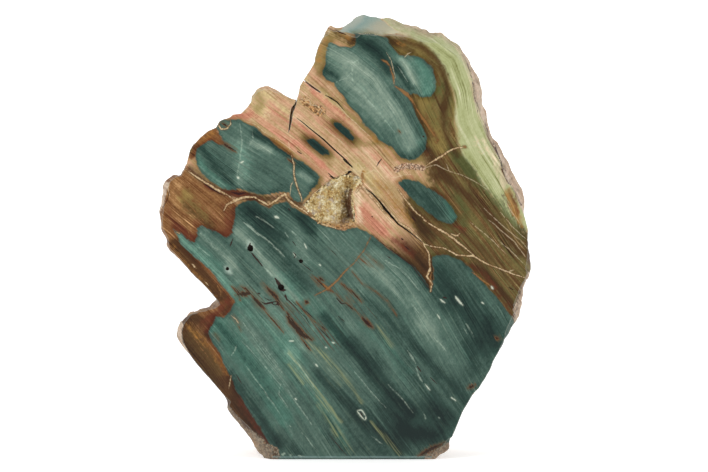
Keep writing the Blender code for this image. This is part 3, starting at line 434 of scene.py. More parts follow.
# Crisp marks: half width at the middle, and the line each follows. They taper to both ends.
MARKS = {
    "white": [
        (1.3, [(243, 222), (251, 228), (259, 235)]), (0.8, [(258, 233), (266, 239), (274, 246)]),
        (0.9, [(273, 246), (279, 251), (285, 257)]), (0.5, [(433, 337), (441, 344), (447, 352)]),
        (0.4, [(466, 323), (470, 330), (474, 338)]), (0.4, [(464, 328), (467, 334)]),
        (0.5, [(411, 303), (415, 308), (419, 313)]), (1.0, [(407, 350), (412, 357), (416, 364)]),
        (0.8, [(416, 368), (419, 376), (423, 382)]), (0.5, [(281, 384), (279, 394), (288, 408)]),
        (0.4, [(243, 323), (262, 348), (282, 373)]), (0.4, [(241, 340), (258, 358), (280, 384)]),
        (0.4, [(262, 345), (278, 364)]), (0.4, [(283, 384), (298, 405), (312, 425)]),
        (0.6, [(287, 353), (300, 366), (315, 388)]), (0.5, [(289, 425), (291, 427)]),
        (0.4, [(231, 356), (235, 350), (237, 345)]),
        (0.35, [(240, 122), (242, 140), (240, 158), (237, 176)]),
        (0.4, [(252, 131), (253, 139), (249, 146)]), (0.45, [(350, 66), (358, 60), (359, 64)]),
        (0.4, [(336, 82), (346, 78), (353, 72), (352, 66)]), (0.4, [(352, 71), (353, 82)]),
        (0.4, [(385, 260), (402, 270), (416, 285)]), (0.6, [(400, 268), (410, 279), (420, 291)]),
        (0.45, [(350, 82), (372, 104), (396, 134)]), (0.4, [(398, 66), (408, 82)]),
        (0.6, [(292, 231), (296, 236)]), (0.6, [(285, 232), (289, 237)]), (0.6, [(297, 240), (300, 244)]),
        (0.5, [(200, 233), (212, 245), (226, 259)]), (0.5, [(199, 247), (210, 256)]),
        (0.5, [(255, 216), (264, 221), (274, 228)]), (0.9, [(264, 267), (269, 272), (274, 277)]),
        (0.6, [(371, 436), (378, 441), (383, 444)]), (0.5, [(424, 414), (426, 419)]),
        (0.5, [(438, 417), (440, 419)]), (0.4, [(388, 384), (401, 398), (413, 413)]),
        (0.4, [(355, 372), (370, 390), (386, 408)]), (0.35, [(300, 430), (318, 452)]),
        (0.4, [(246, 366), (262, 388), (280, 414)]), (0.5, [(302, 456), (305, 457)]),
        (1.2, [(281, 455), (285, 453)]), (0.9, [(290, 454), (292, 456)]), (1.0, [(298, 456), (303, 457)]),
    ],
    "halo": [
        (2.6, [(249, 242), (252, 249)]), (2.4, [(226, 267), (231, 273)]),
    ],
    "russet": [
        (1.6, [(232, 286), (238, 292), (240, 300)]), (2.8, [(236, 295), (243, 294), (252, 293)]),
        (1.5, [(240, 286), (247, 290), (255, 297)]), (2.47, [(252, 295), (259, 304), (266, 312)]),
        (1.1, [(262, 307), (272, 319), (284, 332)]),
        (2.21, [(262, 283), (267, 289), (276, 297), (284, 310)]),
        (2.34, [(287, 311), (290, 322), (296, 331)]),
        (3.38, [(289, 317), (295, 326), (302, 334), (312, 340)]),
        (1.0, [(300, 338), (305, 344), (311, 351)]), (2.3, [(305, 301), (309, 303)]),
        (1.6, [(312, 276), (320, 284), (333, 292)]), (2.0, [(318, 278), (324, 281)]),
        (0.8, [(335, 293), (345, 302), (355, 310), (363, 318)]),
        (2.6, [(361, 316), (367, 322), (374, 328)]), (1.4, [(340, 283), (352, 292), (362, 302)]),
        (0.5, [(352, 272), (362, 283), (376, 292), (388, 302), (397, 315)]),
        (0.5, [(359, 258), (371, 267)]), (0.5, [(366, 254), (375, 261), (383, 268)]),
        (0.5, [(313, 319), (319, 325), (326, 331)]), (0.6, [(233, 316), (238, 323), (241, 331)]),
        (1.8, [(495, 337), (500, 339)]), (2.2, [(468, 388), (475, 385)]),
        (2.6, [(417, 457), (430, 450), (445, 442)]), (1.1, [(221, 141), (229, 146), (235, 150)]),
        (0.8, [(224, 145), (231, 150), (237, 152)]), (1.2, [(262, 203), (269, 207), (274, 202)]),
        (0.5, [(296, 302), (306, 313), (316, 323)]), (0.5, [(286, 303), (294, 312)]),
        (0.6, [(347, 296), (353, 303)]), (0.8, [(398, 130), (401, 133)]), (0.6, [(345, 285), (352, 295)]),
        (0.6, [(214, 333), (220, 340)]), (1.6, [(288, 159), (295, 163)]), (1.3, [(223, 123), (226, 126)]),
        (0.4, [(459, 47), (464, 57), (471, 72)]), (0.35, [(473, 84), (475, 99), (479, 111)]),
        (0.4, [(484, 126), (492, 143.6), (497, 153)]), (0.3, [(502, 167), (504, 177), (508, 183)]),
        (0.4, [(509, 190), (512, 198), (515, 203)]), (0.35, [(515, 196), (518, 206)]),
        (0.35, [(476, 80), (479, 84)]), (0.35, [(482, 98), (484, 102)]), (0.35, [(488, 118), (486, 123)]),
        (0.35, [(499, 142), (497, 148)]), (0.35, [(507, 160), (505, 166)]),
        (0.35, [(514, 176), (511, 181)]), (0.35, [(519, 190), (516, 195)]),
    ],
    "maroon": [
        (0.5, [(252, 253), (257, 259), (263, 266)]), (1.8, [(275, 278), (279, 284), (283, 291)]),
        (1.6, [(279, 290), (286, 290)]), (0.9, [(285, 294), (287, 301)]),
        (1.0, [(261, 301), (265, 304), (277, 301)]), (0.9, [(257, 293), (261, 294)]),
        (0.7, [(277, 301), (279, 306)]), (0.8, [(204, 184), (214, 190), (222, 195)]),
        (1.2, [(231, 192), (239, 194), (246, 193)]), (0.7, [(224, 144), (230, 148), (236, 151)]),
        (0.7, [(224, 124), (226, 125)]), (0.7, [(233, 238), (230, 247)]), (1.0, [(364, 319), (372, 327)]),
        (0.9, [(301, 258), (303, 263)]), (0.4, [(303, 264), (308, 268), (313, 272)]),
        (0.7, [(404, 246), (410, 250)]), (0.9, [(401, 238), (403, 240)]), (0.7, [(371, 216), (373, 217)]),
        (0.6, [(304, 343), (310, 350)]), (0.8, [(337, 298), (342, 304), (345, 303)]),
        (0.5, [(345, 303), (355, 311)]), (0.8, [(422, 136), (424, 137)]), (0.7, [(297, 151), (302, 154)]),
        (0.8, [(421, 168), (424, 169)]), (0.9, [(443, 297), (447, 298)]), (0.7, [(417, 366), (421, 372)]),
        (0.5, [(430, 377), (437, 384)]), (0.5, [(360, 412), (363, 417)]), (0.5, [(321, 325), (326, 330)]),
        (0.45, [(284, 296), (296, 308), (303, 315)]), (0.5, [(302, 308), (316, 320)]),
        (0.4, [(331, 250), (337, 256)]), (0.8, [(334, 28), (338, 31), (346, 35)]),
        (0.6, [(508, 287), (514, 290)]), (0.9, [(412, 216), (416, 221)]),
        (0.4, [(330, 435), (341, 449), (349, 458)]), (0.6, [(288, 208), (291, 211)]),
        (0.5, [(236, 374), (242, 384)]), (0.5, [(376, 239), (394, 252), (412, 266), (430, 290)]),
        (0.45, [(459, 44), (463, 54), (469, 66), (472, 78)]), (0.4, [(457, 48), (461, 52), (460, 58)]),
        (0.4, [(473, 86), (475, 98), (478, 108), (477, 114)]), (0.4, [(479, 92), (482, 99), (480, 106)]),
        (0.45, [(482, 119), (486, 127), (492, 142), (499, 156), (502, 168), (505, 178), (513, 188)]),
        (0.35, [(485, 122), (488, 120)]), (0.4, [(492, 142), (498, 146), (504, 158)]),
        (0.35, [(502, 168), (509, 170), (514, 178)]), (0.4, [(517, 196), (521, 204), (525, 208)]),
        (0.35, [(384, 254), (392, 259)]), (0.4, [(519, 297), (517, 308), (513, 318)]),
        (0.4, [(170, 188), (168, 199), (163, 208)]), (1.5, [(250, 243), (249, 248), (250, 252)]),
        (0.6, [(250, 252), (256, 259), (263, 267)]), (1.3, [(277, 283), (281, 287), (284, 291)]),
        (0.5, [(292, 241), (296, 246)]), (0.6, [(293, 252), (296, 255), (294, 258)]),
        (0.45, [(338, 316), (345, 322)]), (0.5, [(300, 312), (306, 318), (310, 325)]),
        (0.5, [(318, 327), (325, 334), (331, 341)]),
        (0.5, [(454, 41), (460, 50), (466, 61), (470, 72), (473, 84), (474, 96)]),
        (0.5, [(484, 118), (488, 130), (495, 144), (499, 158), (505, 170), (512, 184)]),
        (0.5, [(264, 297), (269, 300), (272, 299)]), (0.5, [(270, 303), (275, 305), (280, 304)]),
        (0.45, [(336, 298), (340, 301)]), (0.45, [(291, 300), (297, 306)]),
        (0.7, [(382, 158.5), (380, 161), (378.5, 163), (376.5, 167)]),
    ],
    # Dark lines along the cracks: painted shadow in them.
    "painted_crack_shadow": [
        (0.9, [(297, 98), (295, 106), (292, 112), (291, 120), (289, 132)]),
        (1.0, [(294, 106), (292, 111), (291, 116)]), (0.8, [(302, 79), (311, 86), (321, 93)]),
        (0.5, [(325, 95), (337, 102), (344, 111)]),
        (0.6, [(297, 118), (308, 127), (323, 139), (338, 153), (350, 164)]),
        (0.9, [(343, 159), (350, 165), (353, 168)]),
        (0.9, [(328, 173), (335, 179), (343, 176), (352, 172)]), (1.2, [(348, 172), (352, 172)]),
        (0.8, [(366, 189), (373, 194), (382, 205)]), (0.9, [(380, 203), (389, 214), (399, 225)]),
        (0.6, [(397, 223), (408, 231), (422, 242)]),
    ],
    "cream": [
        (0.78, [(423, 168), (433, 161.5), (441, 156.5), (449, 151), (457, 148), (466, 147)]),
        (0.62, [(398, 189), (407, 202), (417, 213), (427, 221)]),
        (0.86, [(424, 220), (433, 226), (446, 233), (459, 243), (474, 255)]),
        (0.7, [(451, 234), (457, 236), (460, 233)]),
        (0.62, [
            (423, 243), (430, 246), (444, 248), (456, 255), (474, 256), (487, 264), (499, 268), (512, 274),
            (530, 279),
        ]),
        (0.86, [(423, 243), (429, 255), (430, 269), (427, 276), (432, 284), (430, 292)]),
        (0.62, [(291, 153), (294, 164), (294, 175), (297, 187), (301, 196), (302, 202)]),
        (1.2, [(223, 212), (228, 204), (237, 199), (247, 197), (256, 197)]),
        (1.05, [
            (254, 197), (260, 200), (268, 205), (275, 201), (285, 194), (288, 200), (297, 206), (304, 211),
        ]),
        (0.8, [(184, 168), (194, 175), (206, 183), (216, 189), (226, 194), (233, 199)]),
        (1.09, [(212, 187), (218, 190), (225, 194)]),
        (0.7, [(365, 188), (373, 193), (381, 201), (390, 212), (399, 223), (409, 229), (424, 243)]),
        (0.62, [(362, 188), (366, 191), (376, 202), (386, 214)]),
        (0.8, [(302, 206), (312, 196), (322, 187), (333, 179), (341, 176)]),
        (0.78, [(302, 208), (310, 216), (322, 224), (338, 229), (350, 227)]),
        (0.94, [(352, 174), (358, 178), (362, 184), (356, 192)]),
        (0.35, [(231, 375), (230, 382), (228, 390)]), (0.62, [(192, 264), (197, 269)]),
        (0.62, [(204, 281), (209, 286)]), (0.62, [(176, 232), (180, 234)]),
        (0.6, [(220, 119), (218, 124), (221, 129), (227, 129), (231, 124), (230, 119)]),
        (0.4, [(512, 188), (517, 196), (521, 205)]),
    ],
    "orange": [
        (1.3, [(395, 86), (408, 94), (416, 108)]), (1.2, [(414, 106), (424, 120), (438, 141)]),
        (0.45, [(371, 236), (363, 252), (351, 266)]),
        (0.9, [(352, 264), (338, 280), (327, 289), (314, 296)]), (1.1, [(323, 284), (330, 290)]),
        (0.8, [(431, 272), (430, 282), (431, 292)]), (1.7, [(463, 146), (467, 148)]),
        (0.9, [(472, 272), (482, 280), (492, 287)]), (0.5, [(216, 284), (221, 292), (220, 299)]),
        (0.35, [(184, 262), (196, 275), (208, 289)]), (1.2, [(362, 172), (362, 180)]),
        (0.5, [(174, 190), (190, 206), (206, 224)]), (0.5, [(182, 186), (204, 206), (226, 230)]),
        (0.5, [(174, 206), (184, 220), (190, 236)]), (0.4, [(190, 184), (214, 204), (230, 220)]),
        (1.0, [(322, 220), (334, 226), (346, 226)]), (0.7, [(356, 184), (350, 190), (348, 196)]),
        (0.5, [(434, 140), (437, 143)]), (1.0, [(381, 59.5), (386, 61.5), (390, 66)]),
        (0.9, [(390, 66), (393, 76), (394.5, 84)]), (1.3, [(395, 86), (402, 91), (409, 97)]),
        (0.6, [(352, 172), (357, 178), (360, 184)]), (0.3, [(192, 322), (206, 340), (220, 362)]),
        (0.3, [(186, 328), (200, 346), (214, 366)]),
    ],
    "spot": [
        (1.2, [(274, 216), (279, 218)]), (1.0, [(455, 296), (459, 301), (463, 306)]),
        (0.8, [(440, 299), (445, 303)]), (0.96, [(491, 286), (493, 289)]),
        (0.64, [(481, 302), (484, 304)]), (0.56, [(425, 384), (430, 390)]),
        (0.64, [(357, 410), (361, 410), (366, 416)]), (0.64, [(357, 411), (360, 415), (365, 420)]),
        (0.56, [(366, 416), (366, 420)]), (0.56, [(451, 397), (456, 401)]),
        (0.72, [(332, 342), (335, 343)]), (0.56, [(325, 347), (327, 348)]),
        (0.72, [(315, 364), (318, 367)]), (0.56, [(295, 398), (297, 400)]),
        (0.72, [(289, 341), (294, 341)]), (0.72, [(240, 163), (244, 161)]),
        (1.2, [(237, 177), (239, 179)]), (0.56, [(304, 243), (307, 249)]),
        (0.56, [(293, 252), (296, 257)]), (0.64, [(319, 264), (321, 266)]),
        (0.5, [(437, 314), (440, 319)]),
    ],
    "pale": [
        (0.6, [(440, 230), (448, 234)]), (0.6, [(498, 268), (508, 272), (514, 270)]),
        (0.5, [(290, 195), (291, 186), (294, 180)]),
        (1.5, [(352, 192), (350, 200), (352, 212), (354, 224)]),
        (0.5, [(424, 168), (436, 165), (446, 170), (454, 172)]),
        (0.4, [(452, 172), (464, 176), (476, 182), (488, 190)]), (0.4, [(446, 164), (450, 172)]),
        (0.5, [(488, 219), (499, 229), (514, 241), (529, 262)]),
        (0.5, [(498, 240), (509, 249), (526, 266)]),
        (0.45, [(484, 208), (498, 222), (520, 240), (530, 252)]),
        (0.4, [(500, 212), (512, 226), (529, 242)]), (0.4, [(470, 222), (490, 238), (508, 256)]),
        (0.7, [(352, 166), (356, 172), (364, 170)]), (0.6, [(358, 162), (362, 168), (360, 176)]),
        (0.6, [(366, 174), (374, 170), (380, 174)]),
        (0.6, [(384, 176), (394, 178), (404, 175), (412, 174)]),
        (0.5, [(320, 124), (334, 136), (348, 148)]),
        (0.5, [(326, 93), (338, 106), (352, 120), (372, 138)]), (0.5, [(288, 141), (290, 150)]),
        (0.5, [(264, 112), (268, 114), (270, 118)]), (0.5, [(263, 118), (266, 112)]),
        (0.6, [(258, 88), (266, 90), (274, 96)]), (0.5, [(244, 121), (254, 124), (262, 130), (276, 140)]),
        (0.5, [(231, 315), (236, 319), (239, 324)]), (0.6, [(170, 180), (168, 188), (170, 196)]),
        (0.4, [(474, 134), (480, 144), (486, 150)]), (0.4, [(472, 142), (482, 140)]),
        (0.4, [(476, 150), (482, 154), (488, 148)]), (0.4, [(386, 52), (391, 60), (395, 76), (394, 84)]),
        (0.5, [(404, 58), (408, 54), (412, 52)]), (0.4, [(505, 200), (512, 212), (521, 225)]),
        (0.4, [(454, 40), (466, 60), (472, 84), (474, 104)]), (0.6, [(388, 33), (396, 35), (402, 32)]),
        (0.4, [(352, 21), (368, 26), (388, 30)]),
        (0.5, [(474, 136), (478, 140), (476, 145), (481, 149), (479, 153)]),
        (0.4, [(478, 140), (484, 139)]), (0.4, [(481, 149), (486, 147), (485, 152)]),
        (0.4, [(472, 146), (476, 145)]), (0.5, [(346, 31.4), (360, 33.4), (378, 34.4), (386, 33.6)]),
        (0.5, [(301, 98), (305, 101), (309, 100), (311, 105), (317, 106), (322, 110), (320, 114)]),
        (0.9, [(356, 188), (354.5, 196), (356.5, 206), (358, 216), (357, 224)]),
        (0.4, [(350, 167), (356, 174), (364, 181)]), (0.4, [(340, 174), (352, 169), (366, 174)]),
        (0.35, [(357, 160), (356, 170), (359, 182)]), (0.35, [(366, 166), (360, 172), (355, 180)]),
        (0.5, [(384, 160), (382, 163), (379, 168)]),
    ],
}

# The vein of druse beside the pocket, as a half width and its line.
DRUSE_VEIN = (3.2, [(396, 170), (404, 166), (414, 167), (423, 168)])

# The pocket's rim, and the line along which it stays deep and its druse gets painted shade.
POCKET = [
    (303, 205), (312, 196), (322, 187), (333, 178.5), (341, 176), (350, 175.5), (358, 176), (362, 180),
    (357, 186), (353, 191), (351.5, 196), (353.5, 203), (355, 213), (354.5, 222), (350, 226), (344, 229),
    (337, 228), (327, 224.5), (318, 223), (313, 215), (307, 209),
]
HOLLOW = [(351, 190), (349, 197), (350, 207), (352, 218)]


def soft(low, high, value):
    """0 below low, 1 above high, and an even S between, for numbers or arrays."""
    t = np.clip((value - low) / (high - low), 0, 1)
    return t * t * (3 - 2 * t)


def noise_at(points, size, seed=0.0, octaves=1):
    """Smooth noise from about -1 to 1 at each point, with swells of about this size along each axis."""
    scaled = np.asarray(points, float) / size + seed
    if octaves == 1:
        return np.array([1.6 * noise.noise(Vector(p)) for p in scaled])
    return np.array([1.3 * noise.fractal(Vector(p), 0.9, 2.1, octaves) for p in scaled])


# Distances on the face, in pixels, for arrays of places.

def segment_distance(points, a, b):
    """Distance to a straight stretch, and how far along it the nearest place lies, from 0 to 1."""
    a, b = np.array(a, float), np.array(b, float)
    along = b - a
    share = np.clip((points - a) @ along / (along @ along), 0, 1)
    off = points - a - share[:, None] * along
    return np.hypot(off[:, 0], off[:, 1]), share


def line_distance(points, line):
    """Distance to a line of points, and how far along the whole line the nearest place lies."""
    lengths = [math.dist(a, b) for a, b in zip(line, line[1:])]
    best, place, done = np.full(len(points), 1e9), np.zeros(len(points)), 0.0
    for a, b, length in zip(line, line[1:], lengths):
        distance, share = segment_distance(points, a, b)
        nearer = distance < best
        best[nearer] = distance[nearer]
        place[nearer] = (done + share[nearer] * length) / sum(lengths)
        done += length
    return best, place


def inside_loop(points, loop):
    """Which places lie in a closed outline."""
    inside = np.zeros(len(points), bool)
    x, y = points[:, 0], points[:, 1]
    for (ax, ay), (bx, by) in zip(loop, np.roll(loop, -1, 0)):
        if ay != by:
            inside ^= ((ay > y) != (by > y)) & (x < ax + (y - ay) * (bx - ax) / (by - ay))
    return inside


def zone_distance(points, loop):
    """Distance to a closed outline: above 0 inside it, below 0 outside."""
    best = np.full(len(points), 1e9)
    for a, b in zip(loop, loop[1:] + loop[:1]):
        best = np.minimum(best, segment_distance(points, a, b)[0])
    return np.where(inside_loop(points, loop), best, -best)


def zones_distance(points, loops):
    """The same for several outlines taken together."""
    return np.max([zone_distance(points, loop) for loop in loops], 0)


def grain_across(points):
    """A coordinate that is steady along the grain lines and grows across them."""
    total, weights = np.zeros(len(points)), np.zeros(len(points))
    for line in GRAIN_LINES:
        line = np.array(line, float)
        level = np.mean((line[:, 0] - line[:, 1]) * math.sqrt(0.5))
        best, side = np.full(len(points), 1e9), np.zeros(len(points))
        for a, b in zip(line, line[1:]):
            along = (b - a) / np.linalg.norm(b - a)
            distance, _ = segment_distance(points, a, b)
            offset = (points - a) @ np.array([along[1], -along[0]])
            nearer = distance < best
            best[nearer], side[nearer] = distance[nearer], offset[nearer]
        weight = 1 / (best**2 + 9)
        total += weight * (level + side)
        weights += weight
    return total / weights


def grain_along(points):
    """A coordinate that grows down to the right, about along the grain."""
    return (points[:, 0] + points[:, 1]) * math.sqrt(0.5)


def on_photo(places):
    """Places in the face's frame, as (x, y, z) or (x, z), as pixels of the photograph."""
    return np.stack([MIDDLE_PX + places[:, 0] / PIXEL, BASE_PX - places[:, -1] / PIXEL], 1)


def on_face(px):
    """Pixels of the photograph as places (x, z) on the face, in metres."""
    return (np.asarray(px, float) - (MIDDLE_PX, BASE_PX)) * (PIXEL, -PIXEL)


def strokes_at(points, strokes):
    """The sum of soft strokes at each place."""
    value = np.zeros(len(points))
    for strength, width, line in strokes:
        value += strength * np.exp(-((line_distance(points, line)[0] / width) ** 2))
    return value


def marks_at(points, marks):
    """How far each place lies inside the nearest of some crisp marks, in pixels."""
    value = np.full(len(points), -12.0)
    for width, line in marks:
        distance, place = line_distance(points, line)
        value = np.maximum(value, width * (0.3 + 0.7 * np.sin(np.pi * place)) - distance)
    return value


def crumbled_at(px):
    """How far each place lies inside the patches of the face that took no polish, in pixels."""
    return zones_distance(px, (*RIND.values(), CRUMBLY))


def ripple(solid):
    """A small wave that takes the smoothness from the pattern's outlines, in pixels."""
    return np.stack([noise_at(solid, 9.0, 1.3), noise_at(solid, 9.0, 6.2)], 1)


def pattern_values(face):
    """Every value of the wood's pattern, by name, for places in the face's frame."""
    depth = face[:, 1]
    flat = on_photo(face)
    drift = soft(0.002, 0.045, depth) * DRIFT
    solid = np.column_stack([flat, depth / PIXEL])
    wander = np.stack([noise_at(solid, 60.0, 3.1), noise_at(solid, 60.0, 8.7)], 1)
    fine = ripple(solid)
    points = flat + wander * drift[:, None] + fine * EDGE_RIPPLE
    values = {
        "teal": zones_distance(points, TEAL.values()),
        "rust": zones_distance(points, (RUST, RUST_SHOULDER)),
        "humus": zone_distance(points, HUMUS),
        "bark": zone_distance(points, BARK),
        "rind": zones_distance(points, RIND.values()),
        "facet": zone_distance(points, FACET),
        "wedge": zone_distance(points, WEDGE),
        "crumbly": zone_distance(flat, CRUMBLY),
        "druse_vein": DRUSE_VEIN[0] - line_distance(points, DRUSE_VEIN[1])[0],
    }
    fade = FADE * soft(0.001, 0.009, depth)
    for name, marks in MARKS.items():
        values[name] = marks_at(flat + MARK_RIPPLE * fine, marks) - fade
    values = {name: value * MM for name, value in values.items()}
    for name, strokes in SOFT.items():
        values[name] = strokes_at(points, strokes)
    values["across"] = grain_across(flat + 0.2 * wander * drift[:, None]) * MM
    values["along"] = grain_along(flat) * MM
    values["depth"] = depth * 1000
    values["height"] = (BASE_PX - flat[:, 1]) * MM
    return values


# Meshes in general.

def linked(name, data):
    """A new object in the scene."""
    obj = bpy.data.objects.new(name, data)
    bpy.context.scene.collection.objects.link(obj)
    return obj


def mesh_of(bm, name):
    """The mesh that a bmesh makes, with its faces turned outwards."""
    bmesh.ops.recalc_face_normals(bm, faces=bm.faces)
    mesh = bpy.data.meshes.new(name)
    bm.to_mesh(mesh)
    bm.free()
    return mesh


def mesh_points(mesh):
    """The places of a mesh's points."""
    points = np.empty(len(mesh.vertices) * 3)
    mesh.vertices.foreach_get("co", points)
    return points.reshape(-1, 3)


def search_tree(places):
    """A tree that finds the nearest of some places."""
    tree = KDTree(len(places))
    for k, place in enumerate(places):
        tree.insert(place, k)
    tree.balance()
    return tree


def face_origin(points):
    """Where the face's frame has its origin in the world: on the ground, in the plane of the polish."""
    return np.array([0.0, (points @ TO_FACE[1]).min() / math.cos(LEAN), 0.0])


def in_face_frame(node, origin):
    """A CAD solid in the face's frame, with its doubled points merged."""
    bm = bmesh.new()
    bm.from_mesh(node.data)
    bmesh.ops.remove_doubles(bm, verts=bm.verts, dist=WELD)
    for vert in bm.verts:
        vert.co = TO_FACE @ (np.array(vert.co) - origin)
    return bm


def dressed(mesh, face, origin, values, materials):
    """The piece from its mesh: its points set in the world, with the pattern's values and its materials."""
    for name, value in values.items():
        mesh.attributes.new(name, "FLOAT", "POINT").data.foreach_set("value", value.astype(np.float32))
    mesh.vertices.foreach_set("co", (face @ TO_FACE + origin).ravel())
    for material in materials:
        mesh.materials.append(material)
    mesh.update()
    return linked(mesh.name, mesh)


def divided(bm, longest, rounds):
    """Halves every edge that is longer than this, up to so many times over."""
    for _ in range(rounds):
        long = [e for e in bm.edges if e.calc_length() > longest]
        if not long:
            break
        bmesh.ops.subdivide_edges(bm, edges=long, cuts=1)
        bmesh.ops.triangulate(bm, faces=[f for f in bm.faces if len(f.verts) > 3])


# The stone's broken skin.

def outside_verts(bm):
    """The points joined to the rearmost one: all but the walls of cracks, pits and the pocket."""
    start = max(bm.verts, key=lambda v: v.co.y)
    found, waiting = {start}, [start]
    while waiting:
        for edge in waiting.pop().link_edges:
            for vert in edge.verts:
                if vert not in found:
                    found.add(vert)
                    waiting.append(vert)
    return found


def evened(points, edges, free, rounds):
    """The points with each free one moved towards the mean of its neighbours, so many times over."""
    count = np.zeros(len(points))
    np.add.at(count, edges.ravel(), 1)
    for _ in range(rounds):
        total = np.zeros_like(points)
        np.add.at(total, edges[:, 0], points[edges[:, 1]])
        np.add.at(total, edges[:, 1], points[edges[:, 0]])
        mean = total / count[:, None]
        points = points + (mean - points) * 0.6 * free[:, None]
    return points


def splintered(points):
    """How far the broken surface lies below its facets, in metres: fibrous steps, swells and grains."""
    px = on_photo(points)
    across = grain_across(px) * PIXEL
    fibres = np.stack([grain_along(px) * PIXEL / 9, across / 1.6, points[:, 1] / 5], 1)
    step = (across / LEDGE_WIDTH + 1.4 * noise_at(points, 0.017, 2.0)) % 1.0
    ledge = np.abs(step - soft(0.0, 0.16, step))
    cracks = np.maximum(0, 1 - np.abs(noise_at(fibres, 0.0062, 6.0)) / 0.09)
    rough = BROAD_FIBRES * noise_at(fibres, 0.0021, 4.0) + NARROW_FIBRES * noise_at(fibres, 0.0009, 9.0)
    rough += LEDGES * (ledge - 0.4)
    swell = noise_at(points, 0.009, 5.0, 2)
    rough += GRAINS * noise_at(points, 0.0034, 7.0, 3) + SWELLS * swell + CRACKS * cracks
    return rough * (1 - 0.85 * soft(-6, 2, zone_distance(px, FACET)))


def broken_skin(node, origin):
    """The CAD solid without its polished face, divided finely, in the face's frame."""
    bm = in_face_frame(node, origin)
    polish = [f for f in bm.faces if max(v.co.y for v in f.verts) < FLAT]
    bmesh.ops.delete(bm, geom=polish, context="FACES")
    hollow = bm.verts.layers.float.new("hollow")
    outside = outside_verts(bm)
    for vert in bm.verts:
        vert[hollow] = 0.0 if vert in outside else 1.0
    divided(bm, SKIN_STEP, 3)
    return bm, hollow


def roughen(bm, hollow, origin):
    """Rounds the skin's facets and breaks its surface up, but leaves its edges and its sawn base."""
    bm.verts.ensure_lookup_table()
    bm.verts.index_update()
    points = np.array([v.co for v in bm.verts])
    edges = np.array([[v.index for v in e.verts] for e in bm.edges])
    rim = np.array([v.is_boundary for v in bm.verts])
    inner = np.array([v[hollow] > 0.01 for v in bm.verts])
    world = points @ TO_FACE + origin
    low, high = world.min(0), world.max(0)
    above_base = soft(0.0, 0.0016, points @ TO_FACE[:, 2])
    near = soft(0.0, 0.0012, points[:, 1]) * above_base * ~rim * ~inner
    free = near * (0.25 + 0.75 * soft(0.001, 0.008, points[:, 1]))
    top = points[:, 2].max()
    points = evened(points, edges, (near > 0.01) * 1.0, 2)
    points[:, 2] += (top - points[:, 2].max()) * soft(0.150, 0.172, points[:, 2])
    for vert, place in zip(bm.verts, points):
        vert.co = place
    bm.normal_update()
    normals = np.array([v.normal for v in bm.verts])
    relief = splintered(points)
    layer = bm.verts.layers.float.new("relief")
    for vert, low_by in zip(bm.verts, 1000 * relief * free):
        vert[layer] = low_by
    points -= normals * (relief * free)[:, None]
    jagged = inner * (points[:, 1] > 1e-5)
    points += normals * (WALLS * noise_at(points, 0.0011, 5.0) * jagged)[:, None]
    world = np.clip(points @ TO_FACE + origin, low, high)
    for vert, place in zip(bm.verts, (world - origin) @ TO_FACE.T):
        vert.co = place


# The stone's polished face.

def boundary_loops(bm):
    """The rings of open edges, as lists of points in order, the longest first."""
    open_verts = [v for v in bm.verts if v.is_boundary]
    waiting = {v: [e.other_vert(v) for e in v.link_edges if e.is_boundary] for v in open_verts}
    loops = []
    while waiting:
        here = next(iter(waiting))
        loop = []
        while here is not None:
            loop.append(here)
            ahead = waiting.pop(here)
            here = next((v for v in ahead if v in waiting), None)
        loops.append(loop)
    return sorted(loops, key=len, reverse=True)


def inside_any(points, loops):
    """Which places lie in one of the closed outlines."""
    return np.any([inside_loop(points, loop) for loop in loops], 0)


def face_grid(low, high, step):
    """Places in staggered rows, a step apart."""
    rows = np.arange(low[1], high[1], step * 0.866)
    columns = np.arange(low[0], high[0], step)
    x, y = np.meshgrid(columns, rows)
    x = x + 0.5 * step * (np.arange(len(rows)) % 2)[:, None]
    return np.stack([x.ravel(), y.ravel()], 1)


def near_marks(points, reach):
    """Which places of the face lie near a broad mark or a crumbled patch, with the reach in metres."""
    px = on_photo(points)
    broad = [mark for marks in MARKS.values() for mark in marks if mark[0] >= THIN]
    return np.maximum(crumbled_at(px), marks_at(px, broad)) > -reach / PIXEL


def mark_places():
    """Places along the middle of each thin mark and along both its sides, on the face in metres."""
    found = []
    for width, line in (mark for marks in MARKS.values() for mark in marks if mark[0] < THIN):
        rows = ((0.0, MARK_STEP), (width + SIDE_GAP, SIDE_STEP), (-width - SIDE_GAP, SIDE_STEP))
        for a, b in zip(line, line[1:]):
            a, b = np.array(a, float), np.array(b, float)
            length = math.dist(a, b)
            normal = np.array([a[1] - b[1], b[0] - a[0]]) / length
            for aside, step in rows:
                count = max(1, round(length / step))
                share = (np.arange(count) + 0.5)[:, None] / count
                found.append(a + (b - a) * share + normal * aside)
    px = np.concatenate(found)
    px -= MARK_RIPPLE * ripple(np.column_stack([px, np.zeros(len(px))]))
    _, first = np.unique(np.round(px / DOUBLED), axis=0, return_index=True)
    return on_face(px[np.sort(first)])


def clear_of(places, others, gap):
    """The places that have none of the others nearer than this."""
    tree = search_tree([(x, z, 0) for x, z in others])
    return np.array([p for p in places if tree.find((*p, 0))[2] > gap])


def face_places(rings):
    """Places for the sheet's inner points, clear of the outer ring and of the holes."""
    low, high = rings[0].min(0), rings[0].max(0)
    places = face_grid(low, high, FACE_STEP)
    fine = face_grid(low, high, FINE_STEP)
    marked = mark_places()
    places = np.concatenate([places[~near_marks(places, 0.0006)], fine[near_marks(fine, 0.0004)]])
    places = np.concatenate([clear_of(places, marked, POINT_GAP), marked])
    places = places[inside_loop(places, rings[0])]
    places = places[~inside_any(places, rings[1:])]
    return clear_of(places, np.concatenate(rings), POINT_GAP)


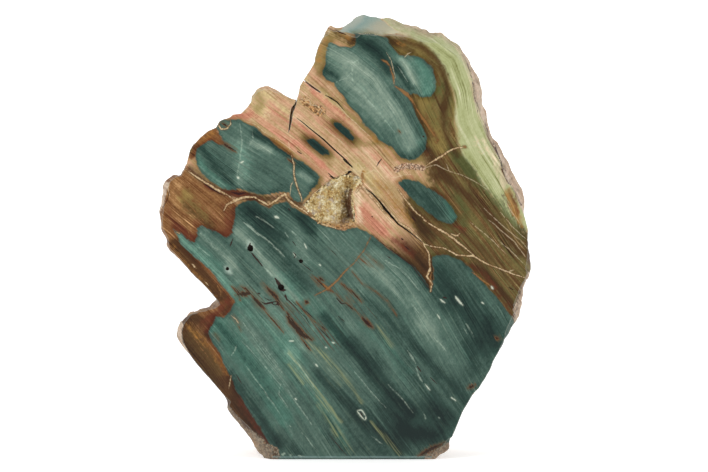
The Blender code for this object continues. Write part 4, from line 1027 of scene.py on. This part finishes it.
def polish_face(bm):
    """Fills the open front with a flat sheet that is finest along the fine marks, and returns its edge."""
    loops = boundary_loops(bm)
    rings = [np.array([(v.co.x, v.co.z) for v in loop]) for loop in loops]
    sides, start = [], 0
    for ring in rings:
        sides += [(start + k, start + (k + 1) % len(ring)) for k in range(len(ring))]
        start += len(ring)
    points = [Vector(p) for p in np.concatenate([*rings, face_places(rings)])]
    made, _, faces, origins, *_ = delaunay_2d_cdt(points, sides, [], 1, 1e-9)
    known = [v for loop in loops for v in loop]
    verts = []
    for place, origin in zip(made, origins):
        ring_point = origin and origin[0] < len(known)
        verts.append(known[origin[0]] if ring_point else bm.verts.new((place.x, 0, place.y)))
    corners = np.array([(p.x, p.y) for p in made])
    middles = corners[np.array([f[:3] for f in faces])].mean(1)
    for face, in_hole in zip(faces, inside_any(middles, rings[1:])):
        if not in_hole:
            bm.faces.new([verts[k] for k in face]).material_index = 1
    for vert in known:
        for edge in vert.link_edges:
            if len({f.material_index for f in edge.link_faces}) > 1:
                edge.smooth = False
    return [v.co.copy() for v in loops[0]]


def crumble(face, polished):
    """Sinks the patches of the face that took no polish into a grainy surface."""
    inside = soft(0.0, 3.0, crumbled_at(on_photo(face))) * polished
    grain = 0.5 + 0.5 * noise_at(face, 0.0009, 3.0) + 0.3 * noise_at(face, 0.0024, 6.0)
    face[:, 1] += CRUMBS * np.clip(grain, 0, 1.5) * inside


def stone_piece(node, origin, materials):
    """The whole stone as one closed mesh, with the pattern's values at its points."""
    bm, hollow = broken_skin(node, origin)
    roughen(bm, hollow, origin)
    edge = search_tree(polish_face(bm))
    loose = [v for v in bm.verts if not v.link_faces]
    bmesh.ops.delete(bm, geom=loose, context="VERTS")
    for face in bm.faces:
        face.smooth = True
    mesh = mesh_of(bm, "petrified_wood_look")
    face = mesh_points(mesh)
    values = pattern_values(face)
    polished = (face[:, 1] < 1e-5) * 1.0
    arris = np.array([1000 * edge.find(p)[2] if flat else 9.0 for p, flat in zip(face, polished)])
    crumble(face, polished * soft(0.0002, 0.0008, arris / 1000))
    return dressed(mesh, face, origin, {**values, "arris": arris}, materials)


# The druse.

def crystal(bm, place, facing, size, turn):
    """One quartz point: a short six-sided prism with a pyramid on it."""
    across = facing.orthogonal().normalized()
    other = facing.cross(across)
    rings = []
    for height, radius in ((-0.5, 0.42), (0.35, 0.42)):
        ring = []
        for k in range(6):
            angle = turn + k * math.pi / 3
            out = across * math.cos(angle) + other * math.sin(angle)
            ring.append(bm.verts.new(place + facing * height * size + out * radius * size))
        rings.append(ring)
    tip = bm.verts.new(place + facing * 0.85 * size)
    bm.faces.new(rings[0][::-1])
    for k in range(6):
        j = (k + 1) % 6
        bm.faces.new((rings[0][k], rings[0][j], rings[1][j], rings[1][k]))
        bm.faces.new((rings[1][k], rings[1][j], tip))


def crystal_spots(bm, rng):
    """Where the crystals stand and face: spread over the crust's front, and round the pocket's rim."""
    few = 1
    shown = [f for f in bm.faces if f.normal.y < -0.1]
    weights = np.array([f.calc_area() for f in shown])
    picks = rng.choice(len(shown), CRYSTALS // few, p=weights / weights.sum())
    spots = [(shown[k].calc_center_median(), shown[k].normal.copy()) for k in picks]
    middle = np.mean(POCKET, 0)
    for _ in range(RIM_CRYSTALS // few):
        start, share = int(rng.integers(len(POCKET))), float(rng.uniform())
        ends = np.array([POCKET[start], POCKET[(start + 1) % len(POCKET)]])
        place = ends[0] + (ends[1] - ends[0]) * share
        place += (middle - place) * float(rng.uniform(-0.02, 0.12))
        x, z = on_face(place)
        spots.append((Vector((x, float(rng.uniform(*RIM_DEPTH)), z)), Vector((0, -1, 0))))
    return spots


def druse_piece(node, origin, material):
    """The pocket's lining: a lumpy crust that climbs to the rim, covered in small crystals."""
    bm = in_face_frame(node, origin)
    divided(bm, DRUSE_STEP, 3)
    bm.normal_update()
    points = np.array([v.co for v in bm.verts])
    px = on_photo(points)
    climb = soft(6.0, 0.5, zone_distance(px, POCKET))
    climb = climb * (0.6 + 0.4 * soft(0.3, 2.6, line_distance(px, HOLLOW)[0]))
    lumps = 0.0003 * noise_at(points, 0.0014, 3.0) + 0.0002 * noise_at(points, 0.0005, 8.0)
    level = points[:, 1] + 0.0002 + (0.0005 - points[:, 1]) * climb * 0.85 + lumps
    for vert, height in zip(bm.verts, level):
        if vert.normal.y < -0.3:
            vert.co.y = max(0.0001, height)
    rng = np.random.default_rng(7)
    for place, facing in crystal_spots(bm, rng):
        lean = Vector(rng.normal(0, CRYSTAL_LEAN, 3))
        size = float(rng.uniform(*CRYSTAL_SIZE))
        crystal(bm, place, (facing + lean).normalized(), size, float(rng.uniform(0, 1)))
    mesh = mesh_of(bm, "pocket_druse_look")
    face = mesh_points(mesh)
    values = {
        "hollow_line": line_distance(on_photo(face), HOLLOW)[0] * MM,
        "depth": face[:, 1] * 1000,
        "grain": noise_at(face, 0.0009, 2.0),
    }
    return dressed(mesh, face, origin, values, [material])


# Materials.

def srgb(red, green, blue):
    """A colour as the photograph's numbers give it, made linear."""
    shares = [c / 255 for c in (red, green, blue)]
    linear = [c / 12.92 if c <= 0.04045 else ((c + 0.055) / 1.055) ** 2.4 for c in shares]
    return (*linear, 1.0)


# Ramps of colour from dark to light: place, red, green and blue of each stop.
RAMPS = {
    "teal": [
        (0.0, 16, 35, 32), (0.24, 40, 64, 56), (0.5, 80, 105, 93), (0.74, 124, 144, 128),
        (1.0, 178, 190, 172),
    ],
    "green": [
        (0.0, 12, 38, 34), (0.24, 36, 70, 60), (0.5, 75, 115, 100), (0.74, 116, 154, 136),
        (1.0, 174, 202, 180),
    ],
    "pinkish": [(0.1, 140, 92, 66), (0.38, 184, 138, 106), (0.6, 208, 166, 134), (0.9, 232, 208, 180)],
    "tan": [(0.1, 112, 86, 50), (0.38, 160, 132, 88), (0.6, 190, 162, 120), (0.9, 224, 206, 170)],
    "pink": [(0.2, 150, 84, 66), (0.55, 198, 128, 104), (0.9, 226, 180, 154)],
    "brown": [
        (0.1, 40, 24, 10), (0.38, 78, 53, 27), (0.58, 108, 79, 44), (0.78, 144, 114, 70),
        (0.98, 196, 168, 120),
    ],
    "mossy": [(0.1, 50, 44, 20), (0.38, 86, 77, 40), (0.6, 113, 103, 58), (0.95, 176, 162, 112)],
    "rust": [(0.1, 54, 27, 12), (0.38, 104, 64, 34), (0.58, 142, 101, 60), (0.9, 202, 160, 110)],
    "bark": [(0.05, 116, 116, 66), (0.35, 158, 163, 112), (0.62, 182, 185, 140), (0.95, 214, 210, 180)],
    "grains": [
        (0.0, 122, 96, 74), (0.25, 206, 168, 138), (0.5, 224, 204, 178), (0.75, 170, 156, 140),
        (1.0, 234, 220, 198),
    ],
    "rind": [(0.1, 136, 110, 90), (0.4, 190, 166, 142), (0.75, 216, 198, 178)],
    "facet": [
        (0.0, 160, 168, 156), (0.15, 128, 152, 144), (0.35, 144, 158, 144), (0.5, 164, 162, 142),
        (0.8, 172, 168, 142), (1.0, 192, 186, 156),
    ],
    "weathered": [(0.05, 78, 64, 50), (0.35, 142, 124, 104), (0.6, 180, 162, 140), (0.95, 216, 204, 184)],
    "stained": [(0.05, 66, 42, 26), (0.35, 126, 92, 62), (0.6, 168, 132, 98), (0.95, 210, 186, 154)],
    "druse": [(0.1, 132, 94, 44), (0.35, 184, 150, 86), (0.6, 210, 190, 138), (0.9, 238, 230, 200)],
}
# The colours for the polished face's rim and base line are painted highlights; those for the walls of cracks,
# the gaps between grains and the druse's hollow and depths are painted shade.
COLOURS = {
    "gold": srgb(152, 154, 104), "dash": srgb(84, 52, 34), "gap": srgb(88, 62, 46),
    "crumbly": srgb(232, 196, 130), "teal_edge": srgb(30, 58, 52), "rust_edge": srgb(104, 66, 38),
    "rust_core": srgb(46, 26, 16), "vein_dark": srgb(156, 120, 78), "vein_light": srgb(212, 190, 148),
    "druse_vein": srgb(226, 206, 190), "arris": srgb(176, 180, 166), "foot": srgb(150, 178, 176),
    "painted_wall_shade": srgb(46, 32, 22), "lilac": srgb(178, 164, 160), "hollow": srgb(92, 54, 26),
    "painted_deep_shade": srgb(112, 68, 34), "ochre": srgb(164, 108, 54),
    "soot": (0.4, 0.38, 0.33, 1), "fringe": (0.5, 0.47, 0.27, 1), "rusty_fringe": (0.5, 0.3, 0.22, 1),
}
# Washes over the wood, in the order laid on: the strokes' name, the tint and its greatest share.
WASHES = [
    ("straw", srgb(200, 182, 132), 0.7), ("shell", srgb(206, 186, 156), 0.7),
    ("olive", srgb(130, 112, 60), 0.75), ("forest", srgb(74, 82, 42), 0.85),
    ("umber", srgb(62, 38, 16), 0.85), ("amber", srgb(158, 108, 48), 0.8), ("red", srgb(96, 44, 26), 0.8),
]
# Coats of the crisp marks, in the order laid on: the marks' name, the greatest share, how much blotches
# and fibres tear the edge, where the edge starts and ends in millimetres, and the colour. A name in the
# colour's place is one that has a pattern of its own.
EDGE = (-0.12, 0.14)
COATS = [
    ("russet", 0.4, 0.8, 0.9, (-1.1, 0.0), srgb(92, 76, 50)),
    ("russet", 0.92, 0.8, 0.8, (-0.05, 0.35), "rusty"),
    ("orange", 0.4, 0.5, 0.0, (-0.5, 0.0), srgb(88, 62, 34)),
    ("orange", 0.75, 0.6, 0.0, (-0.1, 0.25), srgb(146, 100, 54)),
    ("cream", 0.5, 0.6, 0.0, (-0.6, -0.1), srgb(84, 56, 32)),
    ("cream", 0.85, 0.35, 0.0, EDGE, "creamy"),
    ("halo", 0.6, 0.2, 0.0, (-1.4, 1.2), srgb(190, 208, 192)),
    ("pale", 0.5, 0.4, 0.0, EDGE, srgb(206, 186, 150)),
    ("white", 0.5, 0.6, 0.25, (-0.3, 0.55), srgb(184, 202, 182)),
    ("spot", 0.25, 0.2, 0.0, (-0.7, 0.1), srgb(150, 170, 152)),
    ("spot", 0.75, 0.25, 0.0, EDGE, srgb(206, 212, 192)),
    ("maroon", 0.95, 0.3, 0.0, EDGE, srgb(46, 22, 20)),
]
# The dark lines along the cracks, laid on last: painted shadow.
PAINTED_CRACK_SHADOW_COAT = ("painted_crack_shadow", 1.0, 0.1, 0.0, (-0.1, 0.1), srgb(26, 18, 12))


class Graph:
    """Short calls for building a material's nodes."""

    def __init__(self, name):
        self.material = bpy.data.materials.new(name)
        self.material.use_nodes = True
        self.tree = self.material.node_tree
        self.shader = self.tree.nodes["Principled BSDF"]

    def node(self, kind, inputs=(), **settings):
        """A new node, with its settings and with numbers or sockets put into its inputs."""
        made = self.tree.nodes.new(kind)
        for key, value in settings.items():
            setattr(made, key, value)
        for socket, value in dict(inputs).items():
            self.put(made.inputs[socket], value)
        return made

    def put(self, socket, value):
        """Links another node's output to a socket, or sets the socket to a number."""
        if isinstance(value, bpy.types.NodeSocket):
            self.tree.links.new(value, socket)
        else:
            socket.default_value = value

    def value(self, name):
        """A value of the pattern, as stored at the mesh's points."""
        return self.node("ShaderNodeAttribute", attribute_name=name).outputs["Fac"]

    def math(self, operation, a, b=0.0, c=0.0):
        """One step of arithmetic."""
        return self.node("ShaderNodeMath", {0: a, 1: b, 2: c}, operation=operation).outputs[0]

    def add(self, *terms):
        """The sum of some values. A pair is a value and its weight."""
        terms = [self.math("MULTIPLY", *term) if isinstance(term, tuple) else term for term in terms]
        total = terms[0]
        for term in terms[1:]:
            total = self.math("ADD", total, term)
        return total

    def point(self, x, y, z):
        """A vector from three values."""
        return self.node("ShaderNodeCombineXYZ", {0: x, 1: y, 2: z}).outputs[0]

    def noise(self, place, size, detail=2.0, roughness=0.5):
        """Noise from about -1 to 1."""
        inputs = {"Vector": place, "Scale": 1 / size, "Detail": detail, "Roughness": roughness}
        fac = self.node("ShaderNodeTexNoise", inputs).outputs["Fac"]
        return self.math("MULTIPLY_ADD", fac, 3.2, -1.6)

    def rise(self, value, low, high, top=1.0):
        """From 0 at low to top at high, smoothly."""
        inputs = {"Value": value, "From Min": low, "From Max": high, "To Max": top}
        return self.node("ShaderNodeMapRange", inputs, interpolation_type="SMOOTHSTEP").outputs[0]

    def mix(self, share, a, b, blend="MIX"):
        """Two colours mixed, with this share of the second."""
        made = self.node("ShaderNodeMix", data_type="RGBA", blend_type=blend)
        self.put(made.inputs[0], share)
        self.put(made.inputs[6], a)
        self.put(made.inputs[7], b)
        return made.outputs[2]

    def ramp(self, value, name):
        """The colour of a named ramp at a value."""
        made = self.node("ShaderNodeValToRGB", {0: value})
        elements = made.color_ramp.elements
        while len(elements) < len(RAMPS[name]):
            elements.new(0.5)
        for element, (place, *colour) in zip(elements, RAMPS[name]):
            element.position = place
            element.color = srgb(*colour)
        return made.outputs[0]


def grain_noises(g):
    """The noises that streak and mottle the wood, by name, with the places they are read at."""
    n = SimpleNamespace(along=g.value("along"), tone=g.value("tone"))
    across, depth = g.value("across"), g.value("depth")
    n.place = g.point(n.along, across, depth)
    across = g.add(across, (g.noise(n.place, 26.0, 1.0), 0.7))

    def streaks(length, width, detail=2.0, shift=0.0):
        place_across = g.math("MULTIPLY_ADD", across, 1 / width, shift)
        place_along = g.math("MULTIPLY", n.along, 1 / length)
        place_deep = g.math("MULTIPLY", depth, 1.6 / length)
        return g.noise(g.point(place_along, place_across, place_deep), 1.0, detail, 0.55)

    n.band = streaks(46, 3.4)
    n.streak = streaks(32, 1.1)
    n.fibre = streaks(15, 0.5, 1.0)
    n.hair = streaks(34, 0.62, 0.0, 40.0)
    thread = streaks(22, 0.36, 0.0, 15.0)
    n.hue = streaks(30, 1.5, 2.0, 90.0)
    n.cloud = g.noise(n.place, 5.0, 3.0, 0.55)
    n.blotch = g.noise(n.place, 1.6, 2.0, 0.6)
    n.speck = g.noise(n.place, 0.7, 2.0, 0.6)
    n.ragged = g.add((n.streak, 0.8), (n.fibre, 0.45), (n.speck, 0.25), (n.blotch, 0.55), (n.cloud, 0.4))
    n.dark_hair = g.rise(n.hair, -0.42, -0.85)
    lines = g.math("SUBTRACT", g.rise(n.hair, 0.42, 0.85, 0.12), g.math("MULTIPLY", n.dark_hair, 0.13))
    lines = g.add(lines, g.rise(thread, 0.5, 0.9, 0.1), g.rise(thread, -0.5, -0.9, -0.09))
    seen = g.rise(g.noise(n.place, 11.0, 1.0), -0.5, 0.9)
    n.lines = g.math("MULTIPLY", g.math("MULTIPLY_ADD", n.fibre, 0.07, lines), g.add(seen, 0.25))
    n.fine = g.add((n.band, 0.09), (n.streak, 0.09), (n.cloud, 0.06), (n.blotch, 0.07), (n.speck, 0.07))
    n.fine = g.add(n.fine, n.lines)
    n.shade = g.add((n.fine, 1.4), (n.lines, 0.6), (n.tone, 0.22), 0.48)
    return n


def teal_colour(g, n):
    """The heart: greyer and greener teal, with golden threads and rusty dashes."""
    shade = g.add(n.fine, (n.tone, 0.28), 0.45)
    green = g.rise(g.add(g.value("green"), (n.cloud, 0.3), (n.hue, 0.5)), 0.0, 1.1)
    colour = g.mix(green, g.ramp(shade, "teal"), g.ramp(shade, "green"))
    gold = g.rise(g.add(g.value("gold"), (n.fibre, 0.2), (n.streak, 0.3)), 0.1, 1.0, 0.6)
    threads = g.rise(g.add(n.fibre, (n.hair, 0.5)), -0.5, 0.5)
    colour = g.mix(g.math("MULTIPLY", gold, threads), colour, COLOURS["gold"])
    dashes = g.math("MULTIPLY", n.dark_hair, g.rise(g.value("dashes"), 0.2, 0.9, 0.8))
    return g.mix(dashes, colour, COLOURS["dash"])


def flesh_colour(g, n):
    """The wood round the heart: tan and pinkish, with pink stains."""
    warm = g.rise(g.add(n.hue, (n.cloud, 0.5)), -0.55, 0.55)
    colour = g.mix(warm, g.ramp(n.shade, "tan"), g.ramp(n.shade, "pinkish"))
    pink = g.rise(g.add(g.value("pink"), (n.hue, 0.5), (n.fibre, 0.2)), 0.1, 1.1, 0.8)
    return g.mix(pink, colour, g.ramp(n.shade, "pink"))


def grains(g, n, size):
    """Packed grains of several shades, with painted shade in the dark gaps between them, as in crumbly stone.
    """
    spread = g.node("ShaderNodeVectorMath", {0: n.place, 1: (1 / size,) * 3}, operation="MULTIPLY").outputs[0]
    cells = g.node("ShaderNodeTexVoronoi", {"Vector": spread, "Scale": 1.0})
    pick = g.node("ShaderNodeSeparateColor", {0: cells.outputs["Color"]}).outputs[0]
    # The dark gaps between the grains are painted shade in crevices.
    gap = g.rise(g.add(cells.outputs["Distance"], (n.speck, 0.12)), 0.42, 0.72, 0.75)
    return g.mix(gap, g.ramp(pick, "grains"), COLOURS["gap"])


def rind_colour(g, n, crumb_share):
    """The rind: bands and crumbs, sooty in places."""
    bands = g.ramp(g.add((n.cloud, 0.3), (n.streak, 0.25), (n.fibre, 0.15), 0.5), "rind")
    sooty = g.rise(g.value("soot"), 0.1, 0.9)
    colour = g.mix(g.math("MULTIPLY_ADD", sooty, 0.5, crumb_share), bands, grains(g, n, 0.8))
    return g.mix(sooty, colour, g.mix(1.0, colour, COLOURS["soot"], "MULTIPLY"))


def within(g, n, name, low, high, roughness=1.0):
    """How far a place lies in a zone of the pattern, from 0 to 1, over a ragged edge."""
    return g.rise(g.add(g.value(name), (n.ragged, roughness)), low, high)


def zoned(g, n):
    """The wood's zones without the teal heart: flesh, humus, rust, wedge and bark. Also the share of rust."""
    flesh = flesh_colour(g, n)
    brown = g.ramp(g.add(n.shade, (n.lines, 0.5), (n.fibre, 0.04)), "brown")
    humus = g.mix(g.rise(n.hue, -0.4, 0.5), brown, g.ramp(n.shade, "mossy"))
    rust = g.ramp(g.add(n.shade, (n.lines, 0.5), (n.fibre, 0.05)), "rust")
    bark = g.ramp(g.add(n.shade, (n.streak, 0.09), (n.lines, 0.7), (n.hue, 0.09)), "bark")
    colour = g.mix(within(g, n, "humus", -0.6, 1.1), flesh, humus)
    in_rust = within(g, n, "rust", -0.5, 0.7)
    colour = g.mix(in_rust, colour, rust)
    wedge = g.mix(g.rise(g.add(n.along, (n.ragged, 2.0)), 175.0, 190.0), flesh, brown)
    colour = g.mix(within(g, n, "wedge", -0.2, 0.3, 0.1), colour, wedge)
    return g.mix(within(g, n, "bark", -0.7, 1.4, 0.7), colour, bark), in_rust


def washed(g, n, colour):
    """The wood with its washes of colour."""
    texture = g.add((n.lines, 2.4), (n.streak, 0.2), (n.blotch, 0.16), (n.speck, 0.12), (n.tone, 0.3), 1.0)
    for name, tint, share in WASHES:
        torn = g.add(g.value(name), (n.streak, 0.35), (n.fibre, 0.2), (n.blotch, 0.5))
        share = g.math("MULTIPLY", g.rise(torn, 0.05, 1.2, share), g.rise(g.value(name), 0.0, 0.3))
        colour = g.mix(share, colour, g.mix(1.0, tint, texture, "MULTIPLY"))
    return colour


def with_heart(g, n, colour, in_rust):
    """The teal heart and its islands, laid over the wood, with the stained fringe round them."""
    ragged = g.add(g.value("teal"), (n.ragged, 0.5))
    fringe = g.math("MULTIPLY", g.rise(ragged, -2.6, 0.0), g.rise(n.cloud, -1.2, 0.6, 0.95))
    stain = g.mix(in_rust, COLOURS["fringe"], COLOURS["rusty_fringe"])
    colour = g.mix(fringe, colour, g.mix(1.0, colour, stain, "MULTIPLY"))
    teal = g.mix(g.rise(ragged, 1.6, 0.1, 0.45), teal_colour(g, n), COLOURS["teal_edge"])
    return g.mix(g.rise(ragged, -0.35, 0.4), colour, teal)


def marked(g, n, colour):
    """The wood with its crisp marks, its vein of druse and painted shadows along its cracks."""
    core = g.add(g.value("russet"), (n.fibre, 0.45), (n.speck, 0.35))
    knots = g.rise(g.add(n.speck, n.blotch), -0.7, 0.6)
    patterned = {
        "rusty": g.mix(g.rise(core, 0.1, 0.6), COLOURS["rust_edge"], COLOURS["rust_core"]),
        "creamy": g.mix(knots, COLOURS["vein_dark"], COLOURS["vein_light"]),
    }

    def coat(colour, name, share, shaggy, fibrous, limits, tint):
        torn = g.add((n.fibre, fibrous), (n.blotch, 0.4 * shaggy), (n.speck, 0.15))
        share = g.rise(g.add(g.value(name), torn), *limits, share)
        return g.mix(share, colour, patterned.get(tint, tint))

    for settings in COATS:
        colour = coat(colour, *settings)
    druse = g.mix(0.8, grains(g, n, 0.6), COLOURS["druse_vein"], "MULTIPLY")
    colour = g.mix(within(g, n, "druse_vein", -0.1, 0.2, 0.4), colour, druse)
    return coat(colour, *PAINTED_CRACK_SHADOW_COAT)


def wood_colour(g, crumb_share):
    """The wood's colour, from the pattern's values and the noises, and those noises."""
    n = grain_noises(g)
    colour, in_rust = zoned(g, n)
    colour = washed(g, n, colour)
    crumbs = g.mix(0.8, grains(g, n, 0.7), COLOURS["crumbly"], "MULTIPLY")
    colour = g.mix(within(g, n, "crumbly", -0.4, 0.6, 0.9), colour, crumbs)
    facet = g.ramp(g.math("MULTIPLY_ADD", g.add(n.along, (n.cloud, 1.5)), 1 / 14, -7.6), "facet")
    colour = g.mix(within(g, n, "facet", -0.2, 0.4, 0.3), colour, facet)
    colour = with_heart(g, n, colour, in_rust)
    colour = g.mix(within(g, n, "rind", -0.2, 0.5, 0.5), colour, rind_colour(g, n, crumb_share))
    return marked(g, n, colour), n


def polished_material():
    """The glossy face, with a painted highlight along its rim and a pale painted highlight along the base."""
    g = Graph("polished_jasperised_wood")
    colour, n = wood_colour(g, 0.55)
    # A pale colour near the face's edge: a painted highlight along the rim.
    rim = g.rise(g.add(g.value("arris"), (n.speck, 0.15)), 0.4, 0.05, 0.35)
    colour = g.mix(rim, colour, COLOURS["arris"])
    # A pale bluish line along the bottom of the face: a painted highlight along the base edge.
    foot = g.rise(g.add(g.value("height"), (n.speck, 0.15), (n.cloud, 0.2)), 1.7, 0.5, 0.7)
    g.put(g.shader.inputs["Base Color"], g.mix(foot, colour, COLOURS["foot"]))
    g.put(g.shader.inputs["Roughness"], g.math("MULTIPLY_ADD", g.math("ABSOLUTE", n.speck), 0.1, 0.18))
    g.shader.inputs["IOR"].default_value = 1.5
    g.shader.inputs["Specular IOR Level"].default_value = 0.35
    return g.material


def broken_material():
    """The broken stone: the same wood under grey and stained weathering, with painted shade in its hollows
    and cracks.
    """
    g = Graph("broken_wood_and_rind")
    colour, n = wood_colour(g, 0.25)
    low = g.value("relief")
    patch = g.noise(n.place, 17.0, 2.0)
    # Sunk places of the broken surface get a darker weathered tone: painted shade.
    shade = g.add((n.cloud, 0.22), (n.blotch, 0.16), (n.speck, 0.12), (n.streak, 0.08), (low, -0.28))
    shade = g.add(shade, 0.5)
    stained = g.rise(g.add(patch, (n.cloud, 0.3)), -0.4, 0.5)
    dust = g.mix(stained, g.ramp(shade, "weathered"), g.ramp(shade, "stained"))
    cover = g.rise(g.add(n.cloud, (patch, 0.6), (n.blotch, 0.4), (low, -0.5)), -1.6, 0.6, 0.93)
    cover = g.math("MULTIPLY", cover, g.rise(g.value("facet"), 0.5, -2.0))
    cover = g.math("MULTIPLY", cover, g.rise(g.add(g.value("depth"), (n.cloud, 1.0)), 1.0, 6.0))
    colour = g.mix(cover, colour, dust)
    # The walls of cracks, pits and the pocket turn dark: painted shade.
    colour = g.mix(g.rise(g.value("hollow"), 0.2, 0.8), colour, COLOURS["painted_wall_shade"])
    g.put(g.shader.inputs["Base Color"], colour)
    g.put(g.shader.inputs["Roughness"], g.math("MULTIPLY_ADD", cover, 0.3, 0.6))
    height = g.add(n.speck, (n.streak, 0.6))
    bump = g.node("ShaderNodeBump", {"Height": height, "Distance": 0.00025, "Strength": 0.7})
    g.put(g.shader.inputs["Normal"], bump.outputs[0])
    return g.material


def druse_material():
    """The crystals: golden to cream, lilac in places, and brown painted shade along the hollow and where the
    pocket is deep.
    """
    g = Graph("druse")
    place = g.node("ShaderNodeTexCoord").outputs["Object"]
    cloud = g.noise(place, 0.0042, 2.0)
    speck = g.noise(place, 0.0007, 2.0, 0.6)
    colour = g.ramp(g.add((cloud, 0.34), (speck, 0.34), (g.value("grain"), 0.22), 0.56), "druse")
    height = g.node("ShaderNodeSeparateXYZ", {0: place}).outputs[2]
    for share, name in (
        (g.rise(g.noise(place, 0.0031, 1.0), 0.15, 0.8, 0.6), "lilac"),
        # Brown along the hollow line and in the deepest part of the pocket: painted shade.
        (g.rise(g.add(g.value("hollow_line"), (speck, 0.5)), 1.1, 0.3, 0.9), "hollow"),
        (g.rise(g.add(g.value("depth"), (speck, 0.5)), 4.5, 7.0, 0.8), "painted_deep_shade"),
        (g.rise(height, 0.0965, 0.0925, 0.75), "ochre"),
    ):
        colour = g.mix(share, colour, COLOURS[name])
    g.put(g.shader.inputs["Base Color"], colour)
    g.shader.inputs["Roughness"].default_value = 0.45
    return g.material


def paper_material():
    """White paper that glows a little, and more where it rises behind the stone."""
    g = Graph("white_paper")
    g.shader.inputs["Base Color"].default_value = (0.9, 0.9, 0.9, 1)
    g.shader.inputs["Roughness"].default_value = 0.9
    g.shader.inputs["Specular IOR Level"].default_value = 0.2
    g.shader.inputs["Emission Color"].default_value = (1, 1, 1, 1)
    place = g.node("ShaderNodeTexCoord").outputs["Object"]
    depth = g.node("ShaderNodeSeparateXYZ", {0: place}).outputs[1]
    wall = g.rise(depth, SHEET_FLAT - 1, SHEET_FLAT + SHEET_BEND, WALL_GLOW - FLOOR_GLOW)
    g.put(g.shader.inputs["Emission Strength"], g.math("ADD", wall, FLOOR_GLOW))
    return g.material


# Studio.

def area_light(name, place, power):
    """A round lamp that looks at the stone."""
    light = bpy.data.lights.new(name, "AREA")
    light.shape = "DISK"
    light.size = LAMP_SIZE
    light.energy = power
    obj = linked(name, light)
    obj.location = place
    obj.rotation_euler = (Vector(LAMP_AIM) - Vector(place)).to_track_quat("-Z", "Y").to_euler()


def backdrop():
    """A white sheet that runs from under the stone up behind it, clear of a camera on any side."""
    profile = [(-SHEET_REACH, 0.0), (SHEET_FLAT, 0.0)]
    for k in range(1, 10):
        angle = math.radians(10 * k)
        profile.append((SHEET_FLAT + SHEET_BEND * math.sin(angle), SHEET_BEND * (1 - math.cos(angle))))
    profile.append((SHEET_FLAT + SHEET_BEND, SHEET_HEIGHT))
    bm = bmesh.new()
    row = [bm.verts.new((-SHEET_REACH, y, z)) for y, z in profile]
    edges = [bm.edges.new(pair) for pair in zip(row, row[1:])]
    pulled = bmesh.ops.extrude_edge_only(bm, edges=edges)["geom"]
    far = [v for v in pulled if isinstance(v, bmesh.types.BMVert)]
    bmesh.ops.translate(bm, vec=(2 * SHEET_REACH, 0, 0), verts=far)
    mesh = mesh_of(bm, "studio_sheet")
    mesh.materials.append(paper_material())
    sheet = linked("studio_sheet", mesh)


def surroundings():
    """A white room behind and above the stone, and a darker one in front, which the polish mirrors."""
    world = bpy.data.worlds.new("studio")
    world.use_nodes = True
    tree = world.node_tree
    place = tree.nodes.new("ShaderNodeTexCoord")
    split = tree.nodes.new("ShaderNodeSeparateXYZ")
    share = tree.nodes.new("ShaderNodeMapRange")
    share.inputs["From Min"].default_value = -0.6
    share.inputs["From Max"].default_value = 0.1
    share.inputs["To Min"].default_value = WORLD_FRONT
    share.inputs["To Max"].default_value = WORLD_BACK
    tree.links.new(place.outputs["Generated"], split.inputs[0])
    tree.links.new(split.outputs["Y"], share.inputs["Value"])
    tree.links.new(share.outputs[0], tree.nodes["Background"].inputs["Strength"])
    tree.nodes["Background"].inputs["Color"].default_value = (1, 1, 1, 1)
    bpy.context.scene.world = world


def camera(origin):
    """A camera square to the polished face, as the photograph's was."""
    x, z = on_face(AIM_PX)
    aim = Vector(np.array([x, 0, z]) @ TO_FACE + origin)
    towards = Vector((0, -math.cos(LEAN), math.sin(LEAN)))
    data = bpy.data.cameras.new("camera")
    data.sensor_width = SENSOR
    data.lens = data.sensor_width * CAMERA_DISTANCE / (PHOTO_WIDTH * PIXEL)
    obj = linked("camera", data)
    obj.location = aim + towards * CAMERA_DISTANCE
    obj.rotation_euler = (-towards).to_track_quat("-Z", "Y").to_euler()
    bpy.context.scene.camera = obj


def studio(origin):
    """The light, the backdrop and the camera."""
    bpy.context.scene.view_settings.view_transform = "Standard"
    surroundings()
    backdrop()
    for name, (place, power) in LAMPS.items():
        area_light(name, place, power)
    camera(origin)


def main():
    for old in list(bpy.data.objects):
        bpy.data.objects.remove(old)
    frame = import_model()
    nodes = frame["nodes"]
    origin = face_origin(mesh_points(nodes["petrified_wood"].data))
    stone = stone_piece(nodes["petrified_wood"], origin, [broken_material(), polished_material()])
    druse = druse_piece(nodes["pocket_druse"], origin, druse_material())
    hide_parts("petrified_wood")
    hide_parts("pocket_druse")
    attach(stone, "root")
    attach(druse, "root")
    print("triangles:", {o.name: len(o.data.polygons) for o in (stone, druse)})
    studio(origin)


main()
